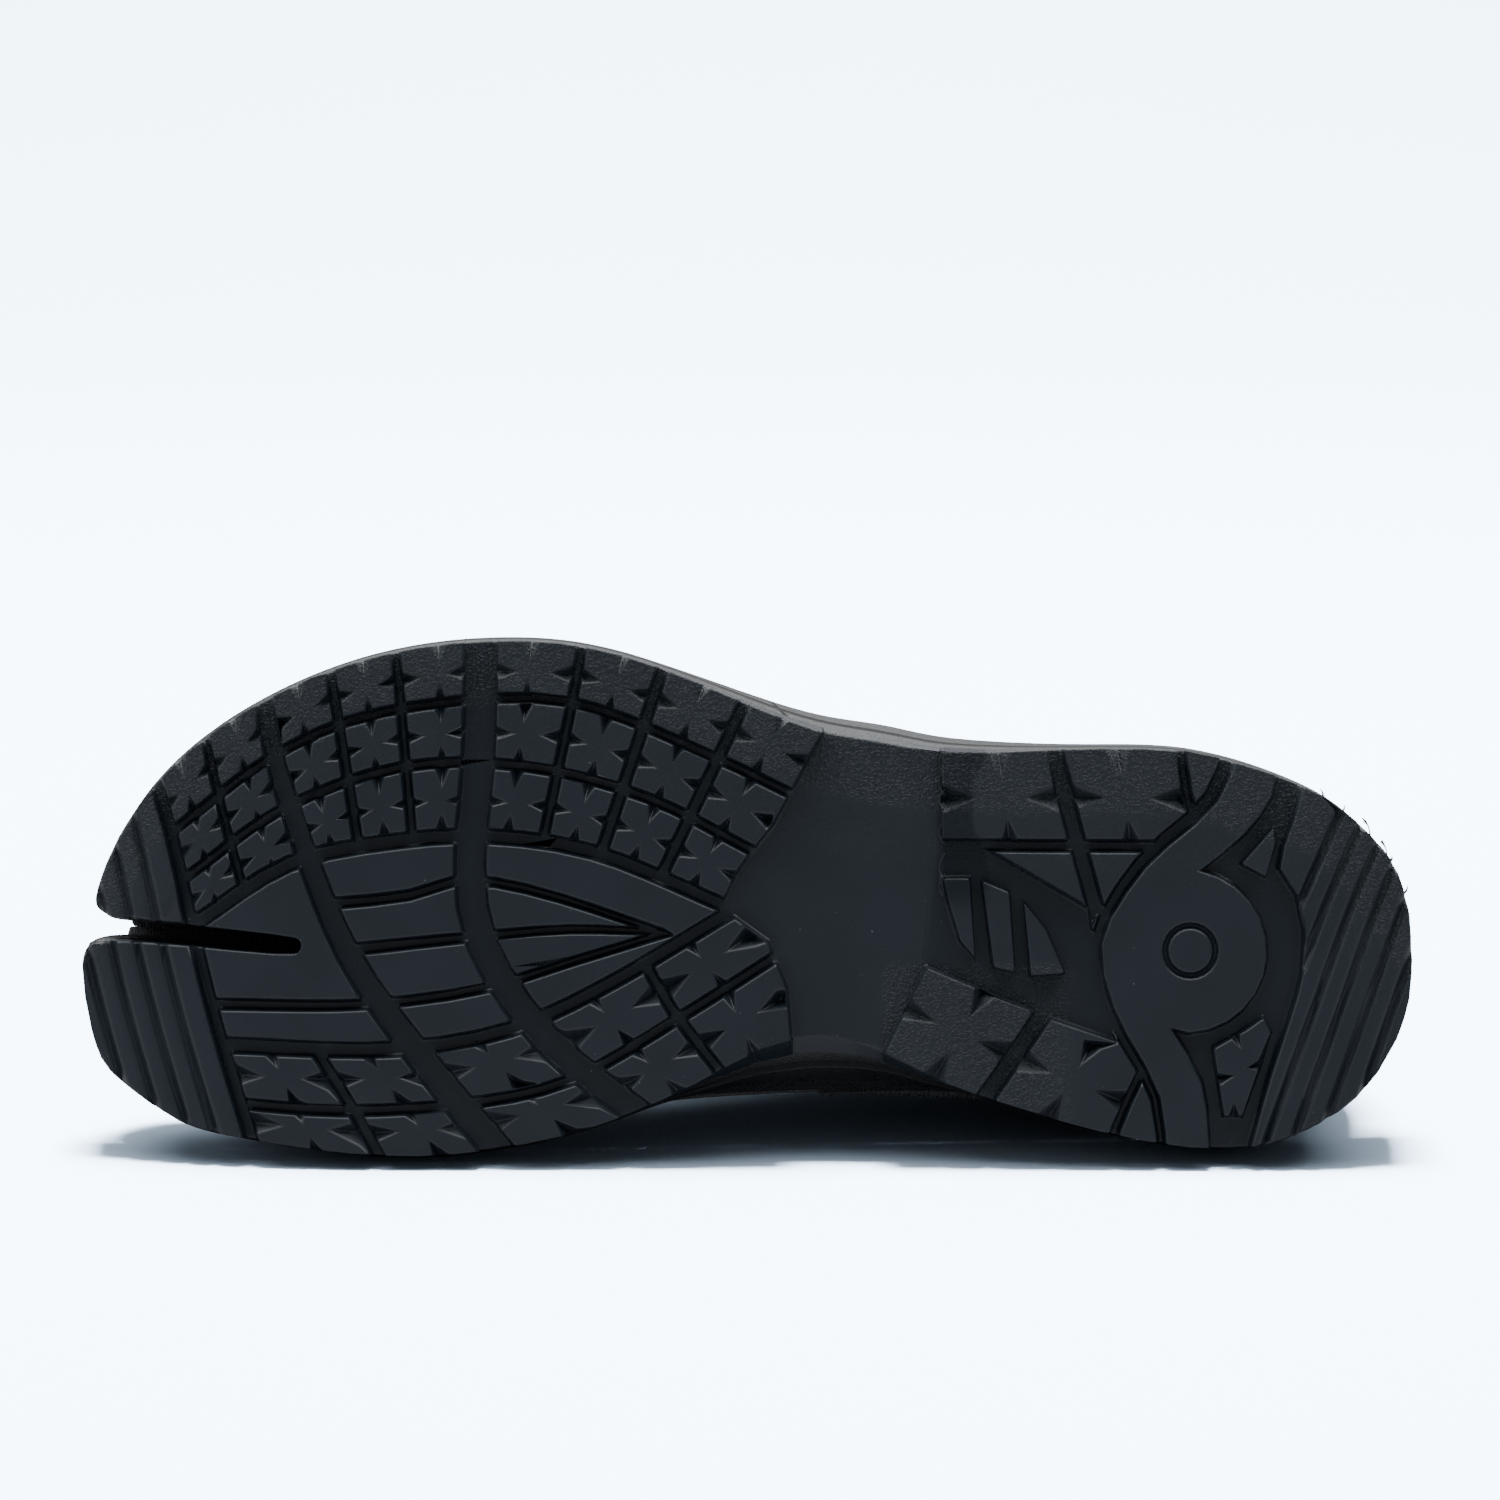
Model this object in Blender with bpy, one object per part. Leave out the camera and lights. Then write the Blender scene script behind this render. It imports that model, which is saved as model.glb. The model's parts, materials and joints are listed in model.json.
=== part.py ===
"""A split-toe sneaker, the left shoe, lying on its medial side with the tread to -Y and the toe to -X.

The shoe is worked out upright, in sole measures: along runs from the toe to the heel, across is positive
on the lateral side and negative on the medial side, and up is measured from the flat of the tread.
Tables are in millimetres, and the solids are in metres. At the end the finished shoe is laid on its side.
"""
import math
from collections import namedtuple

import bmesh
import bpy
import numpy as np
from mathutils import Matrix, Vector
from mathutils.geometry import delaunay_2d_cdt

MM = 0.001

# A rib of the last: along and across at the sole, along, across and height at the ridge, and how it swells
Rib = namedtuple("Rib", "foot goal bulge")

# Driving sizes, mm
SOLE_LENGTH = 280.0
LUG_DEPTH = 3.4
OUTSOLE_THICKNESS = 6.6
TOE_SPRING = 10.0
TOE_SPRING_START = 62.0
HEEL_BEVEL = 4.0
HEEL_BEVEL_START = 254.0
GAP = 0.3
WALL = 2.2
QUARTER_STEP = 0.9
INSOLE_THICKNESS = 3.2

# Slot between the big toe and the other toes: a straight axis, wider at its mouth
SLOT_MOUTH = (7.3, 3.2)
SLOT_END = (43.4, -0.1)
SLOT_HALF_MOUTH = 2.4
SLOT_HALF_END = 1.7
SLOT_HALF_UPPER = 3.6

# Edge of the outsole: along, medial, lateral
SOLE_EDGE = (
    (13, -33.9, 33.2),
    (20, -37.9, 40.3),
    (28, -40.0, 46.3),
    (40, -42.0, 53.2),
    (55, -43.9, 59.3),
    (70, -44.5, 62.9),
    (85, -43.2, 64.3),
    (100, -40.2, 63.8),
    (114, -35.8, 60.9),
    (128, -29.3, 55.8),
    (142, -21.9, 49.8),
    (154, -19.2, 45.3),
    (166, -21.7, 43.1),
    (180, -28.7, 40.9),
    (196, -34.2, 41.0),
    (214, -39.3, 41.6),
    (232, -42.6, 40.9),
    (248, -42.3, 36.9),
    (260, -37.5, 31.9),
    (268, -32.0, 26.0),
)
# Round ends of the outsole, each from its medial to its lateral end: along, across
HEEL_END = (
    (272.5, -26.6),
    (276.5, -19.8),
    (279.2, -11.5),
    (280.0, -3.0),
    (279.3, 6.5),
    (276.8, 15.2),
    (273.0, 21.0),
)
BIG_TOE_END = (
    (6.0, -28.9),
    (1.9, -24.2),
    (-0.2, -18.0),
    (-1.6, -11.3),
    (-2.2, -4.6),
    (-1.2, -0.7),
    (2.0, 0.5),
)
OTHER_TOES_END = ((3.2, 6.2), (0.9, 8.2), (1.1, 12.0), (3.0, 17.0), (5.4, 22.2), (8.8, 27.5))

# The midsole stands wider than the outsole at the waist: along, reach along to both sides, distance
WAIST_FILL_MEDIAL = (153.0, 37.0, -9.0)
WAIST_FILL_LATERAL = (165.0, 50.0, 3.0)
# Share of that width which the side of the outsole already gains
OUTSOLE_FLARE = 0.42
# Height of the midsole's top above the tread, before the toe spring: along, height
MIDSOLE_TOP = ((0, 16.0), (60, 17.0), (110, 19.5), (160, 23.5), (220, 27.5), (280, 29.0))
# Side of the midsole: share of its height, distance that it stands out
MIDSOLE_SIDE = (
    (0.00, -0.5),
    (0.12, 0.3),
    (0.46, 0.9),
    (0.52, 0.0),
    (0.58, 0.8),
    (0.90, 0.2),
    (1.00, -0.8),
)

# Last of the upper: along, medial and lateral edge at the sole, across and height of the instep ridge
LAST = (
    (16, -28.5, 24.6, 0, 0),
    (30, -34.0, 38.6, 0, 0),
    (45, -37.0, 48.0, 0, 0),
    (60, -38.8, 54.0, 0, 0),
    (75, -39.0, 57.5, 1.0, 59.0),
    (90, -37.6, 58.5, 1.5, 67.5),
    (105, -35.6, 57.0, 2.5, 76.5),
    (120, -33.6, 53.0, 3.5, 86.0),
    (135, -32.4, 48.5, 4.5, 95.0),
    (150, -31.9, 44.6, 5.5, 104.5),
    (165, -31.4, 42.0, 5.5, 113.5),
    (180, -31.4, 40.0, 4.5, 122.0),
    (195, -32.2, 38.6, 3.0, 131.0),
    (210, -33.6, 37.2, 2.0, 140.0),
    (225, -34.6, 36.0, 1.0, 146.0),
    (240, -34.8, 33.8, 1.0, 146.0),
    (252, -32.6, 30.6, 1.0, 146.0),
)
# Ridges of the two toes, which meet at the fork: along, across and height of the big toe, then of the others
TOE_RIDGES = (
    (16, -16.5, 43.0, 18.4, 39.0),
    (30, -18.0, 47.5, 22.5, 44.0),
    (45, -17.0, 51.0, 23.0, 48.5),
    (60, -10.0, 54.8, 13.0, 53.5),
    (75, 1.0, 59.0, 1.0, 59.0),
)
FORK = 75.0
ANKLE = 222.0
BIG_TOE_REACH = 12.5
OTHER_TOES_REACH = 8.0
TOE_SQUARENESS = 2.5
HEEL_START = 252.0
HEEL_REACH = 19.5
HEEL_SQUARENESS = 2.3
# How far the wall swells out, and at what share of its height: at the sides and at the slot's end
SIDE_BULGE = (2.6, 0.22)
FORK_BULGE = (3.0, 0.20)
# Distance between the walls of the two toes where they are nearest
TOE_GAP = 0.2
# Stations where the front of the collar turns round
THROAT = (166.0, 167.2, 170.5)
# Top line of the collar: along at the sole, height above the tread
COLLAR = (
    (166, 115.0),
    (167.2, 112.1),
    (170.5, 106.4),
    (176, 97.6),
    (184, 88.5),
    (196, 80.0),
    (212, 75.0),
    (228, 77.5),
    (244, 85.0),
    (258, 92.0),
    (272, 97.0),
)
# The ribbed quarter starts at this seam, where the wall steps out
SEAM = 155.0
SEAM_HALF = 0.4
# Ribs of the last: their rows of corners, distance and numbers
ROWS = 7
RIB_SPACING = 10.0
TOE_RIBS = 7
TOE_END_RIBS = 7
HEEL_RIBS = 8
# Corners nearer than this are one: in a solid, in the plan of the tread, and on the ring round a cap
MERGE = 0.01
PLAN_MERGE = 0.04
CAP_MERGE = 0.0001
RING_TOUCH = 0.001
# Faces that turn by less than this from each other are one, in degrees
FLAT_TURN = 0.15
# Distance between the corners of a curve
TABLE_STEP = 2.0
NOTCH_EDGE_STEP = 4.0
OUTSOLE_STEP = 8.0
FIELD_STEP = 6.0
GROOVE_STEP = 7.0
MIDSOLE_STEP = 9.0
# Largest turn at a corner of the outsole's edge, degrees
OUTSOLE_TURN = 8.0
# Corners inside a curved face: distance between them, and to its edge
CAP_SPACING = 10.0
CAP_MARGIN = 3.0

# Corners of an inset ring that keep this share of the inset stay in it
INSET_KEPT = 0.97

# Masses for finding how the shoe lies, kg, and how far a face of the hull looks to the medial side
MASS = {"outsole": 0.135, "midsole": 0.065, "upper": 0.080, "insole": 0.015}
MEDIAL_FACING = 0.8

# Tread. Wall of a lug leans back by this much from floor to top
DRAFT = 0.55
MITRE_LEAST = 0.1
RIB_PITCH = 5.6
RIB_WIDTH = 2.4
RIB_DEPTH = 1.6
TOE_RIB_FIRST = 7.4
TOE_RIB_COUNT = 4
WAIST_ARCH = 0.9
WAIST_STATIONS = (140, 147, 154, 161, 168, 175)
WAIST_STEP = 0.5
NOTCH_SHARE = 0.30
NOTCH_SPREAD = 0.40
# Notches in the sole's own sides run past them, so that they are open there
NOTCH_PAST_EDGE = 1.4
SOLE_SIDES = ("lateral", "medial")
# Lines that meet short of each other run on by this much
LINE_RUN = 4.0
PIVOT = (232.6, -1.1)
PIVOT_RING = 5.3
RING_WIDTH = 1.4
RING_DEPTH = 1.2
RING_DRAFT = 0.35
RING_STEPS = 24
DISC = (231.6, -1.3)
DISC_RADIUS = 17.1
DISC_STEPS = 13

# Grooves of the tread: width at the first and the last point, then points along and across
GROOVES = {
    "toe": (3.2, 3.2, ((12, 40), (16.9, 24.7), (21.9, 3.2), (27.2, -17.5), (36, -46))),
    "flex_1": (4.0, 7.2, ((36.4, 58), (38.8, 42.1), (45.1, 22.1), (55.2, -2.1), (67.8, -20.4), (90.5, -48))),
    "flex_2": (7.6, 6.4, ((83.2, 68), (82.4, 37.7), (80.7, 16.6), (83.2, 0.6), (96.7, -19.6), (121, -39))),
    "row_1": (
        2.5,
        2.5,
        ((16.9, 23.4), (37.1, 38.6), (54.8, 47.2), (78.8, 51.6), (101.6, 51.4), (131.7, 40), (148.6, 31.9)),
    ),
    "row_2": (2.6, 2.6, ((19.3, 13.3), (40.5, 28.4), (65.7, 37.5), (91.4, 37.9), (118, 31.2), (140.6, 19.8))),
    "row_3": (3.8, 3.4, ((21.5, 3.9), (42.8, 17.3), (66.2, 22.1), (84.9, 23), (106.4, 19.8), (136.5, 7.5))),
    "col_1": (2.3, 2.3, ((23.4, 48), (29.9, 21.9), (33, 10.8))),
    "col_2": (2.5, 2.5, ((50.5, 62), (52.9, 47.6), (57.5, 19.8))),
    "col_3": (2.3, 2.3, ((64.6, 66), (65.9, 53.1), (68.7, 21.2))),
    "col_4": (2.5, 2.5, ((105.2, 68), (103, 55), (95.9, 20.8))),
    "col_5": (3.0, 3.0, ((123, 63), (114, 36.2), (108, 18.2))),
    "col_6": (3.0, 3.0, ((141, 56), (128.7, 30.3), (120.6, 13.6))),
    "inner_1": (3.8, 3.4, ((28.0, -21.2), (66.2, -21.8), (89.3, -17.7), (108.3, -9.1), (136.5, 7.5))),
    "inner_2": (
        2.8,
        2.8,
        ((31.8, -33.5), (53.9, -34.9), (83.6, -32.9), (102, -28.4), (124.7, -15.4), (145.5, -2.2)),
    ),
    "col_7": (2.9, 2.9, ((47.7, -21.4), (55.2, -33.3), (64, -49))),
    "col_8": (2.9, 2.9, ((117.7, -4.0), (123.3, -13.5), (137, -31))),
    "leaf_1": (2.8, 2.0, ((51.5, 8.8), (68, 10.6), (78, 13.7), (86, 13.3), (99.9, 9.9), (120.5, 3))),
    "leaf_2": (3.0, 1.8, ((55, -1), (78.8, 1.5), (102, 3.4), (120.5, 2.8))),
    "leaf_3": (2.8, 2.2, ((25.7, -12.5), (59.4, -12.4), (83.6, -9.1), (102.2, -3.4), (122, 2.6))),
    "heel_row": (2.9, 2.9, ((179.6, 21.1), (226, 20.9))),
    "heel_col_1": (4.0, 4.0, ((202.6, 47), (206.5, 30.6), (213.4, 5.2))),
    "heel_col_2": (2.4, 2.4, ((230, 46), (231.8, 32.7), (233.2, 27.5))),
    "heel_col_3": (4.2, 4.2, ((203, -12.5), (190.3, -31), (186, -37))),
    "heel_col_4": (2.2, 2.2, ((222.3, -26.8), (219.5, -32.7), (214.5, -45))),
    "band": (
        3.6,
        2.0,
        ((241.5, 42), (237, 31.2), (222, 17.2), (212.6, 0.6), (215.3, -13.6), (225.2, -32.3), (226.8, -47)),
    ),
}
# First rib of the heel, which the others repeat: along, across
HEEL_RIB = ((275.5, 28), (266.7, 8.4), (259.2, -12.2), (246.5, -47))
# How far each heel rib runs towards the medial side: number, across
HEEL_RIB_ENDS = ((-2, 7.0), (-1, -6.5), (0, -60), (1, -60), (2, -60), (3, -60))

# Hollows of the tread: along, across
WAIST_FRONT = (
    (158, 50.5),
    (151.5, 38.6),
    (144.3, 25.3),
    (137.4, 16.6),
    (133.2, 8.0),
    (143.3, 0.6),
    (147.3, -9.1),
    (148.6, -25),
)
WAIST_BACK = ((166, -27.5), (171.9, -15.4), (177.2, -4.8), (178.9, 9.5), (180.4, 22.1), (180.4, 46))
HEEL_HOLLOW = (
    (178.4, 21.1),
    (189.2, 21.0),
    (211.1, 8.2),
    (213.0, 0.6),
    (215.5, -13.6),
    (217.5, -20.6),
    (204.2, -16.0),
    (175.8, -4.2),
)
# Lines that bound the star lugs of the heel where no groove does
HOLLOW_FOOT = ((172, -2.4), (204.2, -16.0), (217.5, -20.6), (224.0, -29.5))
HEEL_ROW_RUN = ((176, 21.1), (240, 20.9))
HEEL_BLOCK_END = ((230, 46), (231.8, 32.7), (231, 16))
BAND_ARM_LATERAL = ((251.5, 40), (249.7, 31.4), (243.8, 23.4), (234.5, 15.7))
BAND_ARM_MEDIAL = ((228.4, -17.4), (234.9, -29.1), (236.8, -47))
RIB_FRONT_MEDIAL = ((244.2, -47), (249.7, -27.6), (253.7, -15.6))
RIB_FRONT_ARC = ((256.4, -6.0), (256.9, 2.3), (255.4, 10.3))
RIB_FRONT_LATERAL = ((251.6, 16.2), (254.4, 26.0), (258, 38))
# Lugs that stand in those hollows
BARS = (
    ((180.6, 14.1), (186.0, 14.1), (187.1, -2.4), (184.2, 1.1), (181.8, 9.0)),
    ((188.8, 13.5), (194.3, 11.2), (195.5, -5.5), (191.3, -4.6)),
    ((197.6, 8.8), (201.9, 3.4), (206.0, -5.8), (199.1, -6.3)),
)
HEEL_BLOCKS = (
    ((250.1, 24.6), (250.4, 21.6), (248.4, 14.6), (243.6, 17.2)),
    ((237.6, -21.8), (244.2, -18.1), (248.0, -15.4), (249.5, -18.4), (243.4, -36.0), (239.8, -36.0)),
)

# Notches in the second of those lugs: along and across of the tip, and of the foot
HEEL_NOTCHES = (
    (243.2, -21.5, 242.0, -18.9),
    (241.8, -27.4, 238.3, -28.2),
    (244.6, -25.8, 247.3, -25.2),
    (241.8, -33.0, 241.8, -36.3),
)

# Edges that turn by more than this are shaded sharp, degrees
SHARP_TURN = 20
# Colour and roughness of each finish
FINISHES = {
    "rubber": ((0.016, 0.018, 0.021), 0.62),
    "foam": ((0.030, 0.032, 0.036), 0.75),
    "knit": ((0.012, 0.012, 0.014), 0.90),
    "sock": ((0.020, 0.020, 0.022), 0.95),
}


def smooth(points, spacing, closed=False, most_turn=math.pi):
    """Points along a smooth curve (centripetal Catmull-Rom) through the given ones, denser where it turns."""
    p = np.array(points, float)
    if closed:
        p = np.vstack([p[-1], p, p[0], p[1]])
    else:
        p = np.vstack([2 * p[0] - p[1], p, 2 * p[-1] - p[-2]])
    out = []
    for a, b, c, d in zip(p[:-3], p[1:-2], p[2:-1], p[3:]):
        t1 = np.linalg.norm(b - a) ** 0.5
        t2 = t1 + np.linalg.norm(c - b) ** 0.5
        t3 = t2 + np.linalg.norm(d - c) ** 0.5
        run, after = c - a, d - b
        bend = abs(math.atan2(run[0] * after[1] - run[1] * after[0], run @ after))
        steps = max(1, round(np.linalg.norm(c - b) / spacing), round(bend / most_turn))
        for t in np.linspace(t1, t2, steps, endpoint=False):
            ab = a + (b - a) * t / t1
            bc = b + (c - b) * (t - t1) / (t2 - t1)
            cd = c + (d - c) * (t - t2) / (t3 - t2)
            abc = ab + (bc - ab) * t / t2
            bcd = bc + (cd - bc) * (t - t1) / (t3 - t1)
            out.append(abc + (bcd - abc) * (t - t1) / (t2 - t1))
    if not closed:
        out.append(p[-2])
    return np.array(out)


def column(rows, index):
    """A smooth function of along, through one column of a table."""
    line = smooth([(row[0], row[index]) for row in rows], TABLE_STEP)
    return lambda along: np.interp(along, line[:, 0], line[:, 1])


def slot_axis(along):
    share = (along - SLOT_MOUTH[0]) / (SLOT_END[0] - SLOT_MOUTH[0])
    return SLOT_MOUTH[1] + share * (SLOT_END[1] - SLOT_MOUTH[1])


def spring(along):
    """Height of the tread above the floor: it rises at the toe and at the back of the heel."""
    toe = np.clip((TOE_SPRING_START - along) / TOE_SPRING_START, 0, None)
    heel = np.clip((along - HEEL_BEVEL_START) / (SOLE_LENGTH - HEEL_BEVEL_START), 0, None)
    return TOE_SPRING * toe**2 + HEEL_BEVEL * heel**2


def midsole_top(along):
    return column(MIDSOLE_TOP, 1)(along) + spring(along)


def sole_outline(spacing, most_turn=math.pi):
    """Closed edge of the outsole, from the slot's end round the big toe, the heel and the other toes."""
    medial = [(row[0], row[1]) for row in SOLE_EDGE]
    lateral = [(row[0], row[2]) for row in SOLE_EDGE]
    half = (SLOT_HALF_MOUTH, SLOT_HALF_END)
    stations = (SLOT_MOUTH[0], SLOT_END[0])
    slot_medial = [(u, slot_axis(u) - h) for u, h in zip(stations, half)]
    slot_lateral = [(u, slot_axis(u) + h) for u, h in zip(stations, half)]
    end = list(arc(SLOT_END, SLOT_HALF_END, math.pi / 4, -math.pi / 4, 2))
    loop = end + slot_medial[::-1] + list(BIG_TOE_END[::-1]) + medial + list(HEEL_END)
    loop += lateral[::-1] + list(OTHER_TOES_END[::-1]) + slot_lateral
    return smooth(loop, spacing, closed=True, most_turn=most_turn)


def mitre(loop):
    """Vectors that move the corners of a closed loop so that its sides move outwards by one."""
    run = np.roll(loop, -1, axis=0) - loop
    run /= np.linalg.norm(run, axis=1)[:, None]
    area = np.sum(loop[:, 0] * np.roll(loop[:, 1], -1) - np.roll(loop[:, 0], -1) * loop[:, 1])
    after = np.stack([run[:, 1], -run[:, 0]], axis=1) * np.sign(area)
    before = np.roll(after, 1, axis=0)
    return (before + after) / np.clip(1 + np.sum(before * after, axis=1), MITRE_LEAST, None)[:, None]


def outward(loop):
    """Unit vectors at the corners of a closed loop, pointing away from it."""
    corner = mitre(loop)
    return corner / np.linalg.norm(corner, axis=1)[:, None]


def waist_fill(loop):
    """How far across the midsole stands beyond the outsole at the waist."""
    side = np.where(loop[:, 1:] < 0, WAIST_FILL_MEDIAL, WAIST_FILL_LATERAL)
    centre, reach, most = side.T
    share = np.clip(1 - np.abs(loop[:, 0] - centre) / reach, 0, 1)
    return most * share * share * (3 - 2 * share)


def arc(centre, radius, first, last, steps):
    """Points on an arc between two angles."""
    turn = np.linspace(first, last, steps + 1)
    return np.array(centre) + radius * np.stack([np.cos(turn), np.sin(turn)], axis=1)


def inside(points, loop):
    """Which of the points lie inside a closed loop."""
    x, y = points[:, 0][:, None], points[:, 1][:, None]
    a, b = loop, np.roll(loop, -1, axis=0)
    crosses = (a[:, 1] > y) != (b[:, 1] > y)
    rise = np.where(b[:, 1] == a[:, 1], 1e-12, b[:, 1] - a[:, 1])
    at = a[:, 0] + (y - a[:, 1]) * (b[:, 0] - a[:, 0]) / rise
    return np.sum(crosses & (x < at), axis=1) % 2 == 1


def nearest(points, line):
    """Distance of each point to a line of segments, and the share of its length where it is nearest."""
    a, b = line[:-1], line[1:]
    run = b - a
    long2 = np.sum(run * run, axis=1)
    t = np.einsum("ijk,jk->ij", points[:, None] - a, run) / long2
    t = np.clip(t, 0, 1)
    gap = np.linalg.norm(points[:, None] - (a + t[..., None] * run), axis=2)
    best = np.argmin(gap, axis=1)
    length = np.sqrt(long2)
    start = np.concatenate([[0], np.cumsum(length)])
    row = np.arange(len(points))
    share = (start[best] + t[row, best] * length[best]) / start[-1]
    return gap[row, best], share


def beside(line, distance):
    """A line of points set off to the left of another by one distance, or by one for each point."""
    run = np.diff(line, axis=0)
    run /= np.linalg.norm(run, axis=1)[:, None]
    normal = np.stack([-run[:, 1], run[:, 0]], axis=1)
    before = np.vstack([normal[:1], normal])
    after = np.vstack([normal, normal[-1:]])
    mitre = (before + after) / np.clip(1 + np.sum(before * after, axis=1), 0.5, None)[:, None]
    return line + mitre * np.broadcast_to(distance, len(line))[:, None]


def closed(loop):
    return np.vstack([loop, loop[:1]])


def lengthened(line, length):
    """A line of points that runs on straight at both its ends."""
    before, after = line[0] - line[1], line[-1] - line[-2]
    first = line[0] + before / np.linalg.norm(before) * length
    last = line[-1] + after / np.linalg.norm(after) * length
    return np.vstack([first, line, last])


def crossing(line_a, line_b):
    """Point where two lines of segments cross."""
    for a, b in zip(line_a[:-1], line_a[1:]):
        for c, d in zip(line_b[:-1], line_b[1:]):
            r, s, w = b - a, d - c, c - a
            turn = r[0] * s[1] - r[1] * s[0]
            if abs(turn) < 1e-9:
                continue
            t = (w[0] * s[1] - w[1] * s[0]) / turn
            k = (w[0] * r[1] - w[1] * r[0]) / turn
            if 0 <= t <= 1 and 0 <= k <= 1:
                return a + t * r
    raise ValueError("the lines do not cross")


class Groove:
    """A groove with a flat floor and leaning walls along a line, which may grow wider on its way."""

    def __init__(self, line, first_width, last_width, depth, draft):
        self.line, self.depth, self.draft = line, depth, draft
        self.first, self.last = first_width / 2, last_width / 2

    def half(self, share):
        return self.first + (self.last - self.first) * share

    def edges(self):
        """Lines along the top and the foot of both walls."""
        run = np.linalg.norm(np.diff(self.line, axis=0), axis=1)
        half = self.half(np.concatenate([[0], np.cumsum(run)]) / run.sum())
        insets = (0, min(self.draft, self.first))
        return [beside(self.line, side * (half - inset)) for side in (1, -1) for inset in insets]

    def depth_at(self, points):
        gap, share = nearest(points, self.line)
        return self.depth * np.clip((self.half(share) - gap) / self.draft, 0, 1)


class Hollow:
    """A sunk field of the tread, with lugs that may stand in it."""

    def __init__(self, loop, depth, islands=()):
        self.loop, self.depth, self.islands = loop, depth, islands

    def edges(self):
        lines = [closed(self.loop), closed(self.loop - mitre(self.loop) * DRAFT)]
        for island in self.islands:
            lines += [closed(island), closed(island + outward(island) * DRAFT)]
        return lines

    def depth_at(self, points):
        gap, _ = nearest(points, closed(self.loop))
        share = np.where(inside(points, self.loop), np.clip(gap / DRAFT, 0, 1), 0)
        for island in self.islands:
            gap, _ = nearest(points, closed(island))
            share = np.where(inside(points, island), 0, np.minimum(share, np.clip(gap / DRAFT, 0, 1)))
        return share * self.depth(points)


class Notch:
    """A V-shaped cut into the side of a lug, which deepens from its tip to the groove."""

    def __init__(self, tip, foot):
        self.tip, self.foot = tip, foot
        run = foot - tip
        self.length = np.linalg.norm(run)
        self.half = self.length * NOTCH_SPREAD
        self.run = run / self.length
        self.cross = np.array([-self.run[1], self.run[0]])

    def edges(self):
        side = self.cross * self.half
        return [np.array([self.tip, self.foot + offset]) for offset in (-side, 0 * side, side)]

    def depth_at(self, points):
        local = points - self.tip
        share = local @ self.run / self.length
        reach = np.where(share > 1e-6, np.abs(local @ self.cross) / (self.half * np.maximum(share, 1e-6)), 1)
        return LUG_DEPTH * np.where((share > 0) & (share < 1.001), share, 0) * np.clip(1 - reach, 0, 1)


def full_depth(points):
    return np.full(len(points), LUG_DEPTH)


def waist_depth(points):
    """The waist plate is arched along the foot."""
    share = np.clip((points[:, 0] - WAIST_FRONT[4][0]) / (WAIST_BACK[-1][0] - WAIST_FRONT[4][0]), 0, 1)
    return LUG_DEPTH + WAIST_ARCH * np.sin(math.pi * share)


def star_notches(grooves, edges):
    """Notches in the middle of each side of the star lugs, which lie between rows and columns of grooves."""
    lines = {name: groove.line for name, groove in grooves.items()} | edges
    lines = {name: lengthened(line, LINE_RUN) for name, line in lines.items()}
    half = {name: groove.half(0.5) - groove.draft for name, groove in grooves.items()}
    fields = (
        (
            ("lateral", "row_1", "row_2", "row_3"),
            ("toe", "col_1", "flex_1", "col_2", "col_3", "flex_2", "col_4", "col_5", "col_6", "waist_front"),
        ),
        (("inner_1", "inner_2", "medial"), ("toe", "col_7", "flex_1", "flex_2", "col_8", "waist_front")),
        (("lateral", "heel_row_run"), ("waist_back", "heel_col_1", "heel_block_end")),
        (("hollow_foot", "medial"), ("waist_back", "heel_col_3", "heel_col_4")),
    )
    notches = []
    for rows, columns in fields:
        for row, next_row in zip(rows, rows[1:]):
            for col, next_col in zip(columns, columns[1:]):
                pairs = [(r, c) for r in (row, next_row) for c in (col, next_col)]
                corner = {(r, c): crossing(lines[r], lines[c]) for r, c in pairs}
                sides = {
                    row: (corner[row, col] + corner[row, next_col]) / 2,
                    next_row: (corner[next_row, col] + corner[next_row, next_col]) / 2,
                    col: (corner[row, col] + corner[next_row, col]) / 2,
                    next_col: (corner[row, next_col] + corner[next_row, next_col]) / 2,
                }
                for near, far in ((row, next_row), (next_row, row), (col, next_col), (next_col, col)):
                    span = sides[far] - sides[near]
                    room = np.linalg.norm(span) - half.get(near, 0) - half.get(far, 0)
                    into = span / np.linalg.norm(span)
                    foot = sides[near] + into * half.get(near, 0)
                    past = NOTCH_PAST_EDGE if near in SOLE_SIDES else 0
                    notches.append(Notch(foot + into * NOTCH_SHARE * room, foot - into * past))
    return notches


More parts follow.
